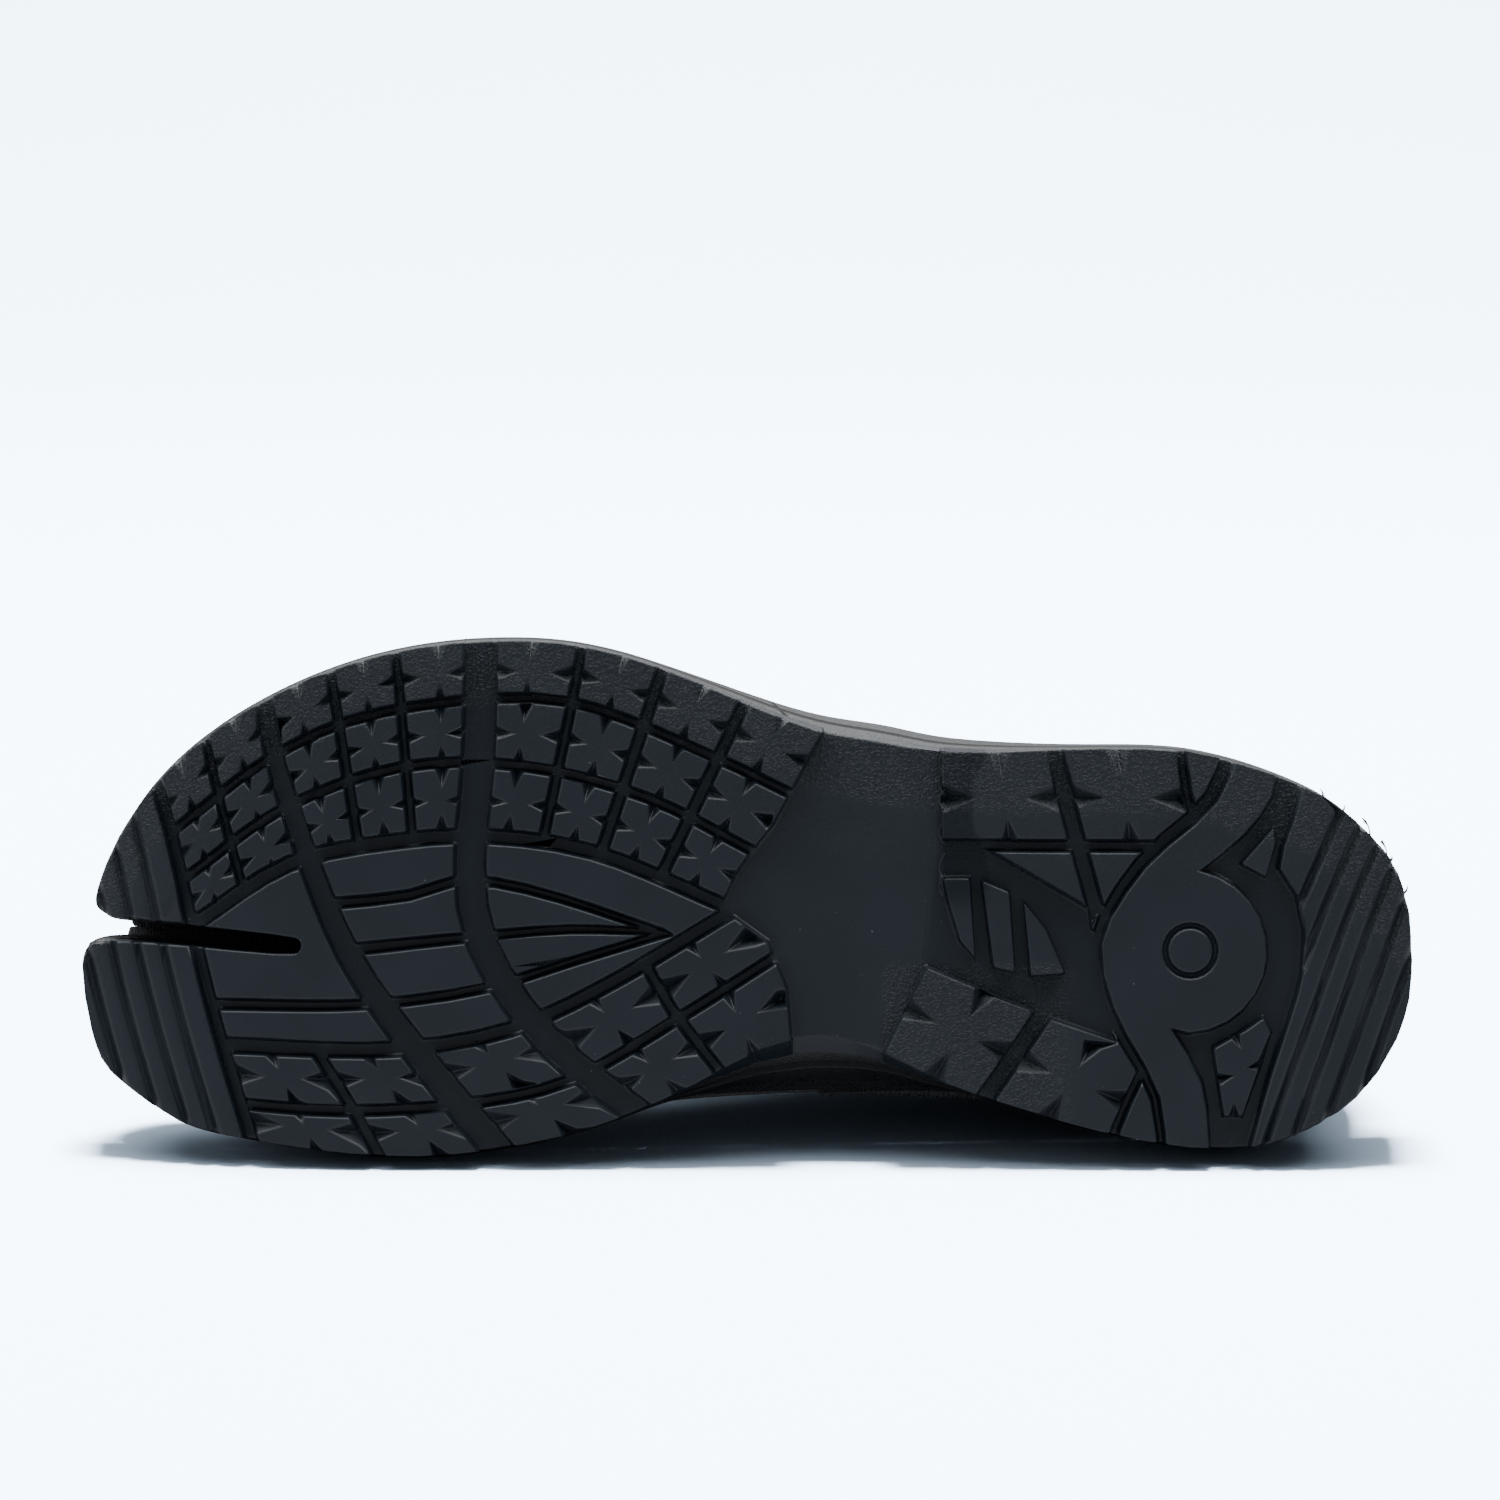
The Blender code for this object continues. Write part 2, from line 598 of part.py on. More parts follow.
def tread():
    """Everything that is cut into the tread, and the lines along which it bends."""
    grooves = {
        name: Groove(smooth(points, GROOVE_STEP), first, last, LUG_DEPTH, DRAFT)
        for name, (first, last, points) in GROOVES.items()
    }
    ribs = []
    for number in range(TOE_RIB_COUNT):
        shift = (TOE_RIB_FIRST + RIB_PITCH * number, 0)
        ribs.append(grooves["toe"].line - shift)
    for number, end in HEEL_RIB_ENDS:
        line = smooth(HEEL_RIB, GROOVE_STEP) + (RIB_PITCH * number, 0)
        ribs.append(line[line[:, 1] > end])
    ring = arc(PIVOT, PIVOT_RING, 0, 2 * math.pi, RING_STEPS)
    first = math.atan2(BAND_ARM_LATERAL[-1][1] - DISC[1], BAND_ARM_LATERAL[-1][0] - DISC[0])
    last = math.atan2(BAND_ARM_MEDIAL[0][1] - DISC[1], BAND_ARM_MEDIAL[0][0] - DISC[0])
    disc_side = arc(DISC, DISC_RADIUS, first, last, DISC_STEPS)[1:-1]
    heel_field = np.vstack(
        [
            smooth(BAND_ARM_LATERAL, FIELD_STEP),
            disc_side,
            smooth(BAND_ARM_MEDIAL, FIELD_STEP),
            smooth(RIB_FRONT_MEDIAL + RIB_FRONT_ARC + RIB_FRONT_LATERAL, FIELD_STEP),
        ]
    )
    cuts = list(grooves.values())
    cuts += [Groove(line, RIB_WIDTH, RIB_WIDTH, RIB_DEPTH, RIB_WIDTH / 2) for line in ribs]
    cuts.append(Groove(ring, RING_WIDTH, RING_WIDTH, RING_DEPTH, RING_DRAFT))
    cuts.append(Hollow(np.array(WAIST_FRONT + WAIST_BACK), waist_depth))
    cuts.append(Hollow(np.array(HEEL_HOLLOW), full_depth, [np.array(bar) for bar in BARS]))
    cuts.append(Hollow(heel_field, full_depth, [np.array(block) for block in HEEL_BLOCKS]))
    edges = {
        "medial": smooth([(row[0], row[1]) for row in SOLE_EDGE], NOTCH_EDGE_STEP),
        "lateral": smooth([(row[0], row[2]) for row in SOLE_EDGE], NOTCH_EDGE_STEP),
        "waist_front": np.array(WAIST_FRONT),
        "waist_back": np.array(WAIST_BACK),
        "hollow_foot": np.array(HOLLOW_FOOT),
        "heel_row_run": np.array(HEEL_ROW_RUN),
        "heel_block_end": np.array(HEEL_BLOCK_END),
    }
    cuts += [Notch(np.array(row[:2]), np.array(row[2:])) for row in HEEL_NOTCHES]
    return cuts + star_notches(grooves, edges)


def plan(loop, lines=(), points=(), merge=PLAN_MERGE):
    """Triangles that fill a closed loop, with edges along the given lines and corners at the given points."""
    coords, edges = [], []
    for line in [closed(loop)] + list(lines):
        start = len(coords)
        coords += [Vector(p) for p in line]
        edges += [(start + i, start + i + 1) for i in range(len(line) - 1)]
    coords += [Vector(p) for p in points]
    found, _, faces, *_ = delaunay_2d_cdt(coords, edges, [], 0, merge)
    found = np.array([tuple(p) for p in found])
    middle = np.array([found[list(face)].mean(axis=0) for face in faces])
    kept = [face for face, ok in zip(faces, inside(middle, loop)) if ok]
    return found, kept


def spread(loop, spacing, margin):
    """Points of a regular grid inside a loop, clear of its edge, so that a curved cap follows its curve."""
    low, high = np.floor(loop.min(axis=0) / spacing) * spacing, loop.max(axis=0)
    grid = np.mgrid[low[0] : high[0] : spacing, low[1] : high[1] : spacing].reshape(2, -1).T
    gap, _ = nearest(grid, closed(loop))
    return grid[inside(grid, loop) & (gap > margin)]


def solid(name, finish, bm):
    """A named object from a closed mesh in sole measures, turned to metres with the medial side at +Y."""
    bmesh.ops.remove_doubles(bm, verts=bm.verts, dist=MERGE)
    bmesh.ops.recalc_face_normals(bm, faces=bm.faces)
    bmesh.ops.dissolve_limit(bm, angle_limit=math.radians(FLAT_TURN), verts=bm.verts, edges=bm.edges)
    bmesh.ops.transform(bm, matrix=Matrix.Diagonal((MM, -MM, MM, 1)), verts=bm.verts)
    bmesh.ops.recalc_face_normals(bm, faces=bm.faces)
    mesh = bpy.data.meshes.new(name)
    bm.to_mesh(mesh)
    bm.free()
    mesh.shade_smooth()
    mesh.set_sharp_from_angle(angle=math.radians(SHARP_TURN))
    part = bpy.data.objects.new(name, mesh)
    bpy.context.scene.collection.objects.link(part)
    colour, roughness = FINISHES[finish]
    material = bpy.data.materials.new(finish)
    material.use_nodes = True
    shader = material.node_tree.nodes["Principled BSDF"]
    shader.inputs["Base Color"].default_value = (*colour, 1)
    shader.inputs["Roughness"].default_value = roughness
    mesh.materials.append(material)
    return part


def cap(bm, loop, ring, height, points):
    """Fills a ring of corners with triangles at a height that is a function of along."""
    found, faces = plan(loop, points=points, merge=CAP_MERGE)
    corner = {}
    for index, p in enumerate(found):
        gap = np.linalg.norm(loop - p, axis=1)
        at = int(np.argmin(gap))
        corner[index] = ring[at] if gap[at] < RING_TOUCH else bm.verts.new((p[0], p[1], height(p[0])))
    for face in faces:
        bm.faces.new([corner[index] for index in face])


def outsole_top(along):
    return spring(along) + OUTSOLE_THICKNESS


def make_outsole():
    """The rubber outsole: a plate with the tread cut into its underside."""
    cuts = tread()
    loop = sole_outline(OUTSOLE_STEP, math.radians(OUTSOLE_TURN))
    lines = [line for cut in cuts for line in cut.edges()]
    lines += waist_lines()
    found, faces = plan(loop, lines, spread(loop, CAP_SPACING, CAP_MARGIN))
    depth = np.max([cut.depth_at(found) for cut in cuts], axis=0)
    bm = bmesh.new()
    low = [bm.verts.new((u, v, spring(u) + d)) for (u, v), d in zip(found, depth)]
    for face in faces:
        bm.faces.new([low[index] for index in face])
    loose = [vert for vert in bm.verts if not vert.link_faces]
    bmesh.ops.delete(bm, geom=loose, context="VERTS")
    rim = [edge for edge in bm.edges if edge.is_boundary]
    edge_loop = ordered(rim)
    ring = np.array([(vert.co.x, vert.co.y) for vert in edge_loop])
    flared = ring.copy()
    flared[:, 1] += waist_fill(ring) * OUTSOLE_FLARE
    top = [bm.verts.new((u, v, outsole_top(u))) for u, v in flared]
    for i, vert in enumerate(edge_loop):
        after = (i + 1) % len(edge_loop)
        bm.faces.new((vert, edge_loop[after], top[after], top[i]))
    cap(bm, flared, top, outsole_top, spread(flared, CAP_SPACING, CAP_MARGIN))
    return solid("outsole", "rubber", bm)


def waist_lines():
    """Straight lines across the waist plate, along which its arch bends."""
    loop = np.array(WAIST_FRONT + WAIST_BACK)
    lines = []
    for along in WAIST_STATIONS:
        across = np.arange(loop[:, 1].min(), loop[:, 1].max(), WAIST_STEP)
        points = np.stack([np.full(len(across), float(along)), across], axis=1)
        gap, _ = nearest(points, closed(loop))
        kept = points[inside(points, loop) & (gap > DRAFT + WAIST_STEP)]
        lines.append(kept[[0, -1]])
    return lines


def ordered(rim):
    """Corners of a closed chain of edges, one after the other."""
    links = {}
    for edge in rim:
        for vert in edge.verts:
            links.setdefault(vert, []).append(edge.other_vert(vert))
    first = next(iter(links))
    chain = [first, links[first][0]]
    while True:
        before, here = chain[-2:]
        after = next(vert for vert in links[here] if vert is not before)
        if after is first:
            return chain
        chain.append(after)


def make_midsole():
    """The foam midsole, fuller than the outsole at the waist, with a line moulded round its side."""
    loop = sole_outline(MIDSOLE_STEP)
    normal = outward(loop)
    fill = waist_fill(loop)
    full_at = MIDSOLE_SIDE[2][0]
    bm = bmesh.new()
    rings, plans = [], []
    for share, out in MIDSOLE_SIDE:
        flat = loop + normal * out
        flat[:, 1] += fill * (OUTSOLE_FLARE + (1 - OUTSOLE_FLARE) * min(1, share / full_at))
        base = outsole_top(flat[:, 0]) + GAP
        height = base + (midsole_top(flat[:, 0]) - base) * share
        rings.append([bm.verts.new((u, v, z)) for (u, v), z in zip(flat, height)])
        plans.append(flat)
    for low, high in zip(rings, rings[1:]):
        for i in range(len(loop)):
            after = (i + 1) % len(loop)
            bm.faces.new((low[i], low[after], high[after], high[i]))
    cap(bm, plans[0], rings[0], lambda u: outsole_top(u) + GAP, spread(plans[0], CAP_SPACING, CAP_MARGIN))
    cap(bm, plans[-1], rings[-1], midsole_top, spread(plans[-1], CAP_SPACING, CAP_MARGIN))
    return solid("midsole", "foam", bm)


def superellipse(centre, reach, half, squareness, count):
    """Round end of the last, from its medial to its lateral side, without the two ends."""
    turn = np.linspace(-math.pi / 2, math.pi / 2, count + 2)[1:-1]
    ahead = np.cos(turn) ** (2 / squareness)
    aside = np.sign(np.sin(turn)) * np.abs(np.sin(turn)) ** (2 / squareness)
    return [(centre[0] + reach * a, centre[1] + half * s) for a, s in zip(ahead, aside)]


def last_ribs():
    """Ribs round the edge of the last: slot, big toe, medial side, heel, lateral side, other toes, slot."""
    medial, lateral = column(LAST, 1), column(LAST, 2)
    body = [row for row in LAST if row[0] >= FORK]
    instep = column(body, 3), column(body, 4)
    big_toe = column(TOE_RIDGES, 1), column(TOE_RIDGES, 2)
    other_toes = column(TOE_RIDGES, 3), column(TOE_RIDGES, 4)
    toes = np.linspace(TOE_RIDGES[0][0], FORK, TOE_RIBS)
    slot = np.linspace(SLOT_MOUTH[0] + SLOT_HALF_UPPER, SLOT_END[0], TOE_RIBS)
    sides = np.concatenate(
        [
            np.arange(FORK + RIB_SPACING, SEAM - RIB_SPACING / 2, RIB_SPACING),
            [SEAM - SEAM_HALF, SEAM + SEAM_HALF, *THROAT],
            np.arange(THROAT[-1] + RIB_SPACING, HEEL_START - RIB_SPACING / 2, RIB_SPACING),
            [HEEL_START],
        ]
    )

    def goal(ridge, along):
        along = min(along, ANKLE)
        return along, float(ridge[0](along)), float(ridge[1](along))

    def side(edge, ridge, stations):
        return [Rib((u, float(edge(u))), goal(ridge, u), SIDE_BULGE) for u in stations]

    def slot_side(ridge, hand):
        """Ribs along one side of the slot, from its mouth to its end, swelling almost to the other side."""
        turn = math.pi / 2 / ROWS
        ribs = []
        for u, station in zip(slot, toes):
            foot = (u, slot_axis(u) + hand * SLOT_HALF_UPPER)
            top = goal(ridge, station)
            back = hand * (top[1] - foot[1]) * (1 - math.cos(turn))
            swell = (SLOT_HALF_UPPER - TOE_GAP / 2 + back) / math.cos(turn)
            ribs.append(Rib(foot, top, (swell, math.sin(turn))))
        return ribs[:-1] + [ribs[-1]._replace(bulge=FORK_BULGE)]

    def toe_end(ridge, edge, hand, reach):
        """Ribs round the front of one toe, from its outer edge to the slot, which rise to the ridge's end."""
        outer = float(edge(toes[0]))
        inner = slot_axis(slot[0]) + hand * SLOT_HALF_UPPER
        centre = (toes[0], (outer + inner) / 2)
        points = superellipse(centre, -reach, (inner - outer) / 2, TOE_SQUARENESS, TOE_END_RIBS)
        return [Rib(point, goal(ridge, toes[0]), SIDE_BULGE) for point in points]

    low, high = float(medial(HEEL_START)), float(lateral(HEEL_START))
    centre, half = (HEEL_START, (low + high) / 2), (high - low) / 2
    back = superellipse(centre, HEEL_REACH, half, HEEL_SQUARENESS, HEEL_RIBS)
    web = (SLOT_END[0] + SLOT_HALF_UPPER, slot_axis(SLOT_END[0]))
    ribs = [Rib(web, goal(instep, FORK), FORK_BULGE)]
    ribs += slot_side(big_toe, -1)[::-1]
    ribs += toe_end(big_toe, medial, -1, BIG_TOE_REACH)[::-1]
    ribs += side(medial, big_toe, toes) + side(medial, instep, sides)
    ribs += [Rib(point, goal(instep, ANKLE), SIDE_BULGE) for point in back]
    ribs += side(lateral, instep, sides)[::-1] + side(lateral, other_toes, toes)[::-1]
    ribs += toe_end(other_toes, lateral, 1, OTHER_TOES_REACH)
    ribs += slot_side(other_toes, 1)
    return ribs


def rib_points(rib, away, collar):
    """Points up one rib, a quarter ellipse that swells out low down and is cut off at the collar."""
    foot = np.array(rib.foot)
    base = float(midsole_top(foot[0])) + GAP
    rise = rib.goal[2] - base
    cut = 1.0
    if foot[0] >= THROAT[0]:
        cut = min(1.0, (float(collar(foot[0])) - base) / rise)
    reach = np.array(rib.goal[:2]) - foot
    most, most_at = rib.bulge
    points = []
    for step in range(ROWS + 1):
        turn = math.asin(cut) * step / ROWS
        up = math.sin(turn)
        bulge = most * up / most_at * math.exp(1 - up / most_at)
        flat = foot + reach * (1 - math.cos(turn)) + away * bulge * math.cos(turn)
        points.append((flat[0], flat[1], base + rise * up))
    return points


def make_upper():
    """The knitted upper: one wall over the last, open below and at the collar, thicker at the quarter."""
    ribs = last_ribs()
    away = outward(np.array([rib.foot for rib in ribs]))
    collar = column(COLLAR, 1)
    bm = bmesh.new()
    step = bm.verts.layers.float.new("step")
    grid = [[bm.verts.new(p) for p in rib_points(rib, out, collar)] for rib, out in zip(ribs, away)]
    base = [line[0] for line in grid]
    for rib, line in zip(ribs, grid):
        for vert in line:
            vert[step] = QUARTER_STEP if rib.foot[0] > SEAM else 0
    for line, after in zip(grid, grid[1:] + grid[:1]):
        for j in range(ROWS):
            bm.faces.new((line[j], after[j], after[j + 1], line[j + 1]))
    bmesh.ops.remove_doubles(bm, verts=bm.verts, dist=MERGE)
    bm.normal_update()
    outer = list(bm.verts)
    rim = [edge for edge in bm.edges if edge.is_boundary]
    faces = list(bm.faces)
    inner = {}
    for vert in outer:
        normal = vert.normal.copy()
        if vert in base:
            normal.z = 0
            normal.normalize()
        inner[vert] = bm.verts.new(vert.co - normal * WALL)
        vert.co += normal * vert[step]
        if vert in base:
            for corner in (vert, inner[vert]):
                corner.co.z = float(midsole_top(corner.co.x)) + GAP
    for face in faces:
        bm.faces.new([inner[vert] for vert in reversed(face.verts)])
    for edge in rim:
        a, b = edge.verts
        bm.faces.new((a, b, inner[b], inner[a]))
    return solid("upper", "knit", bm)


def make_insole():
    """The insole, a thin sole that lies on the midsole inside the upper."""
    loop = np.array([rib.foot for rib in last_ribs()])
    inset = WALL + GAP
    moved = loop - outward(loop) * inset
    gap, _ = nearest(moved, closed(loop))
    ring = moved[gap > inset * INSET_KEPT]
    bm = bmesh.new()
    rings = []
    for height in (GAP, GAP + INSOLE_THICKNESS):
        rings.append([bm.verts.new((u, v, float(midsole_top(u)) + height)) for u, v in ring])
    for i in range(len(ring)):
        after = (i + 1) % len(ring)
        bm.faces.new((rings[0][i], rings[0][after], rings[1][after], rings[1][i]))
    grid = spread(ring, CAP_SPACING, CAP_MARGIN)
    cap(bm, ring, rings[0], lambda u: float(midsole_top(u)) + GAP, grid)
    cap(bm, ring, rings[1], lambda u: float(midsole_top(u)) + GAP + INSOLE_THICKNESS, grid)
    return solid("insole", "sock", bm)


def mass_point(part):
    """Centre of a closed mesh."""
    bm = bmesh.new()
    bm.from_mesh(part.data)
    bmesh.ops.triangulate(bm, faces=bm.faces)
    volume = 0.0
    moment = Vector()
    for face in bm.faces:
        a, b, c = (vert.co for vert in face.verts)
        share = a.dot(b.cross(c)) / 6
        volume += share
        moment += (a + b + c) / 4 * share
    bm.free()
    return moment / volume


def lay_down(parts):
    """Lays the upright shoe on its medial side, on the facet of its hull under its centre of mass."""
    centre = sum((mass_point(part) * MASS[part.name] for part in parts), Vector()) / sum(MASS.values())
    hull = bmesh.new()
    for part in parts:
        for vert in part.data.vertices:
            hull.verts.new(vert.co)
    found = bmesh.ops.convex_hull(hull, input=hull.verts)["geom"]
    facets = [item for item in found if isinstance(item, bmesh.types.BMFace)]
    facets = [face for face in facets if face.normal.y > MEDIAL_FACING]

    def rests_on(face):
        drop = centre + face.normal * face.normal.dot(face.verts[0].co - centre)
        return bmesh.geometry.intersect_face_point(face, drop)

    facet = max((face for face in facets if rests_on(face)), key=lambda face: face.calc_area())
    up = -facet.normal
    ahead = (Vector((1, 0, 0)) - up * up.x).normalized()
    turn = Matrix((ahead, up.cross(ahead), up))
    hull.free()
    points = np.array([turn @ vert.co for part in parts for vert in part.data.vertices])
    low, high = points.min(axis=0), points.max(axis=0)
    place = Vector((-(low[0] + high[0]) / 2, -(low[1] + high[1]) / 2, -low[2]))
    rest = bpy.data.objects.new("rest", None)
    bpy.context.scene.collection.objects.link(rest)
    for part in parts:
        part.parent = rest
    rest.matrix_world = Matrix.Translation(place) @ turn.to_4x4()


for old in list(bpy.data.objects):
    bpy.data.objects.remove(old)
lay_down([make_outsole(), make_midsole(), make_upper(), make_insole()])
bpy.context.view_layer.update()
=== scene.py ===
# %% [markdown]
# A split-toe sneaker lies on its medial side, so that the tread looks at the camera. The solids of the part
# give the shape of its four pieces. This script gives them their finish: moulded rubber, foam, knit and a
# sock liner. It adds two pieces that are too fine for solids, the flash of the mould and a row of stitches.

# %% Load the frame
import json
import math

import bpy
import numpy as np
from mathutils import Matrix, Vector


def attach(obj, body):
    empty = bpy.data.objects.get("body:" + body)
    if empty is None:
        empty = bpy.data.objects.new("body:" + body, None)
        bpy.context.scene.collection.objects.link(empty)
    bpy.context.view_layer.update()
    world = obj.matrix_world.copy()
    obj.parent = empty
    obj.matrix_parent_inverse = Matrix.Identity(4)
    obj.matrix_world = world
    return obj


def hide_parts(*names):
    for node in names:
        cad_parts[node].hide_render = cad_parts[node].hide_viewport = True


MM = 0.001


def short(point, digits=4):
    """Coordinates of a point, rounded to be printed."""
    return [round(c, digits) for c in point]


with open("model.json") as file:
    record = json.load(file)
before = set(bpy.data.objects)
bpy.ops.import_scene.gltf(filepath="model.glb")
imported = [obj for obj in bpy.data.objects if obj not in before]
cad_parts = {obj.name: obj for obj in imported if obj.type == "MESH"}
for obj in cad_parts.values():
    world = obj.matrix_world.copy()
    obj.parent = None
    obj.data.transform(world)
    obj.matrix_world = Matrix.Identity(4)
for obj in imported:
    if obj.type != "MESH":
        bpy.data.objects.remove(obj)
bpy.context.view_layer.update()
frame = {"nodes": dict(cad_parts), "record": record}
nodes = frame["nodes"]

# %% [markdown]
# All patterns of the shoe follow its own directions: along from toe to heel, across from the medial to the
# lateral side, and up from the tread to the collar. The two flat spots of the tread that the record names
# give these directions, so the shoe may lie in any way.

# %% The shoe's own directions
HEEL_SPOT = Vector((240.0, 1.0, 0.0)) * MM
FOREFOOT_SPOT = Vector((100.0, 24.0, 0.0)) * MM
mounts = {mount["name"]: mount for mount in frame["record"]["mounts"]}
heel_spot = Vector(mounts["heel_tread"]["pos_m"])
forefoot_spot = Vector(mounts["forefoot_tread"]["pos_m"])
tread_normal = Vector(mounts["heel_tread"]["axis"]).normalized()
up = -tread_normal
slant = (HEEL_SPOT - FOREFOOT_SPOT).normalized()
level = (heel_spot - forefoot_spot).normalized()
sideways = level.cross(up)
along = (level * slant.x - sideways * slant.y).normalized()
across = along.cross(up).normalized()
turn = Matrix((along, across, up)).transposed()
shoe_origin = heel_spot - turn @ HEEL_SPOT
print("along", short(along), "across", short(across), "up", short(up))


def place(u, v, w=0.0):
    """World point of a point given in millimetres along, across and up."""
    return shoe_origin + turn @ (Vector((u, v, w)) * MM)


def in_shoe(point):
    """Millimetres along, across and up of a world point."""
    return turn.transposed() @ (point - shoe_origin) / MM


# %% [markdown]
# Materials are written as sums. A Wire is a socket of a node tree: adding or multiplying wires adds Math
# nodes, and any other kind of node comes from its method node. Every pattern is measured in the shoe's own
# millimetres. These are a left-handed set of directions, which no turn alone can reach, so the Mapping node
# also mirrors one of them.


# %% Wires
class Wire:
    """A socket of a node tree that can be used in sums."""

    def __init__(self, tree, socket=None):
        self.tree = tree
        self.socket = socket

    def node(self, kind, settings, sockets, out=0):
        """Adds a node, sets it up, feeds its sockets with wires or values, and gives back one output."""
        made = self.tree.nodes.new(kind)
        for name, value in settings.items():
            if name == "stops":
                while len(made.color_ramp.elements) < len(value):
                    made.color_ramp.elements.new(1)
                for element, (position, colour) in zip(made.color_ramp.elements, value):
                    element.position = position
                    element.color = (*colour, 1)
            else:
                setattr(made, name, value)
        for name, value in sockets.items():
            if isinstance(value, Wire):
                self.tree.links.new(value.socket, made.inputs[name])
            else:
                made.inputs[name].default_value = value
        return Wire(self.tree, made.outputs[out])

    def math(self, operation, first, second=0.0):
        return self.node("ShaderNodeMath", {"operation": operation}, {0: first, 1: second})

    def __add__(self, other):
        return self.math("ADD", self, other)

    def __radd__(self, other):
        return self.math("ADD", other, self)

    def __sub__(self, other):
        return self.math("SUBTRACT", self, other)

    def __rsub__(self, other):
        return self.math("SUBTRACT", other, self)

    def __mul__(self, other):
        return self.math("MULTIPLY", self, other)

    def __truediv__(self, other):
        return self.math("DIVIDE", self, other)

    def step(self, low, high):
        """0 below low, 1 above high, and a smooth rise between."""
        settings = {"interpolation_type": "SMOOTHSTEP", "clamp": True}
        return self.node("ShaderNodeMapRange", settings, {"Value": self, "From Min": low, "From Max": high})


def finish(name):
    """A new material, a wire of its tree, its one Principled shader, and the shoe's own millimetres."""
    material = bpy.data.materials.new(name)
    material.use_nodes = True
    tree = material.node_tree
    shader = tree.nodes["Principled BSDF"]
    wire = Wire(tree)
    back = turn.transposed()
    mirror = Matrix.Diagonal((1, 1, -1))
    sockets = {
        "Vector": wire.node("ShaderNodeTexCoord", {}, {}, "Object"),
        "Location": -(back @ shoe_origin) / MM,
        "Rotation": (back @ mirror).to_euler(),
        "Scale": (1 / MM, 1 / MM, -1 / MM),
    }
    shoe = wire.node("ShaderNodeMapping", {"vector_type": "POINT"}, sockets)
    return material, wire, shader, shoe


def feed(wire, shader, socket):
    """Links a wire to a socket of the shader."""
    wire.tree.links.new(wire.socket, shader.inputs[socket])


def set_sockets(shader, values):
    """Gives sockets of the shader their fixed values."""
    for name, value in values.items():
        shader.inputs[name].default_value = value


print("wires ready")

# %% [markdown]
# Some patterns come back in the finishes: noise, a mix of two colours, and a relief that is too fine for
# the mesh and is made by the Bump node. Round specks are dust. Scales of noise are counted per millimetre
# of the shoe, so a scale of 0.05 gives clouds of about 20 mm.

# %% Patterns
SPECK_CORE = 0.5
LOT_EDGE = 0.01
CLOUD_RISE = (0.3, 0.7)


def axes(wire, shoe):
    """Three wires: how far along, across and up a point of the shoe is."""
    apart = wire.node("ShaderNodeSeparateXYZ", {}, {"Vector": shoe}).socket.node
    return [Wire(wire.tree, output) for output in apart.outputs]


def noise(wire, shoe, scale, detail, out="Fac"):
    """Soft noise with so many clouds per millimetre."""
    return wire.node("ShaderNodeTexNoise", {}, {"Vector": shoe, "Scale": scale, "Detail": detail}, out)


def mix(wire, factor, first, second):
    """A colour between two colours."""
    start = (*first, 1) if isinstance(first, tuple) else first
    sockets = {"Factor": factor, "A": start, "B": (*second, 1)}
    return wire.node("ShaderNodeMix", {"data_type": "RGBA"}, sockets, "Result")


def specks(wire, shoe, cell, radius, share):
    """1 on round specks with a radius in millimetres, which lie in a share of cells of one size."""
    sockets = {"Vector": shoe, "Scale": 1 / cell}
    gap = wire.node("ShaderNodeTexVoronoi", {}, sockets, "Distance")
    pick = wire.node("ShaderNodeTexVoronoi", {}, sockets, "Color")
    lot = wire.node("ShaderNodeSeparateXYZ", {}, {"Vector": pick}, "X")
    return (1 - gap.step(radius * SPECK_CORE / cell, radius / cell)) * (1 - lot.step(share, share + LOT_EDGE))


def bump_of(wire, height):
    """A normal from a height in millimetres."""
    return wire.node("ShaderNodeBump", {}, {"Height": height, "Strength": 1.0, "Distance": MM}, "Normal")


def facing(wire, direction):
    """Square of the share of the surface's normal that points in a direction."""
    normal = wire.node("ShaderNodeTexCoord", {}, {}, "Normal")
    sockets = {0: normal, 1: direction}
    share = wire.node("ShaderNodeVectorMath", {"operation": "DOT_PRODUCT"}, sockets, "Value")
    return share * share


print("patterns ready")

# %% [markdown]
# Lands of a tread are polished by the mould and the floors of its grooves are dull. The floors are also
# painted darker and bluer, as painted shade for the shade that falls into the grooves. The height above the
# lands tells them apart, and the lands rise at the toes and at the back of the heel. The smooth plate at the
# waist is as low as a groove but polished, so it is left out, by the straight lines of its edges.
# Behind it the colour is darker on a patch of the first lug of the heel.

# %% Where the rubber is dull and painted darker
SOLE_LENGTH = 280.0
TOE_SPRING = 10.0
TOE_SPRING_START = 62.0
HEEL_BEVEL = 4.0
HEEL_BEVEL_START = 254.0
# A corner of the waist plate is a place along and across, and a slope is along for each millimetre across
WAIST_POINT = (133.2, 8.0)
WAIST_POINT_SLOPES = (0.584, -1.36)
WAIST_LIP = (143.3, 0.6)
WAIST_LIP_SLOPE = -0.2
WAIST_CORNER = (177.2, -4.8)
WAIST_CORNER_SLOPES = (0.12, 0.495)
WAIST_BACK = 180.4
WAIST_BLEND = 1.5
GROOVE_DEPTHS = (0.8, 2.6)
GROOVE_FACING = (0.4, 0.8)
PATCH_RISE = 0.3
PATCH_END = (7.5, 9.5)
PATCH_SWING = 14.0
PATCH_SIDE = (6.0, 12.0)


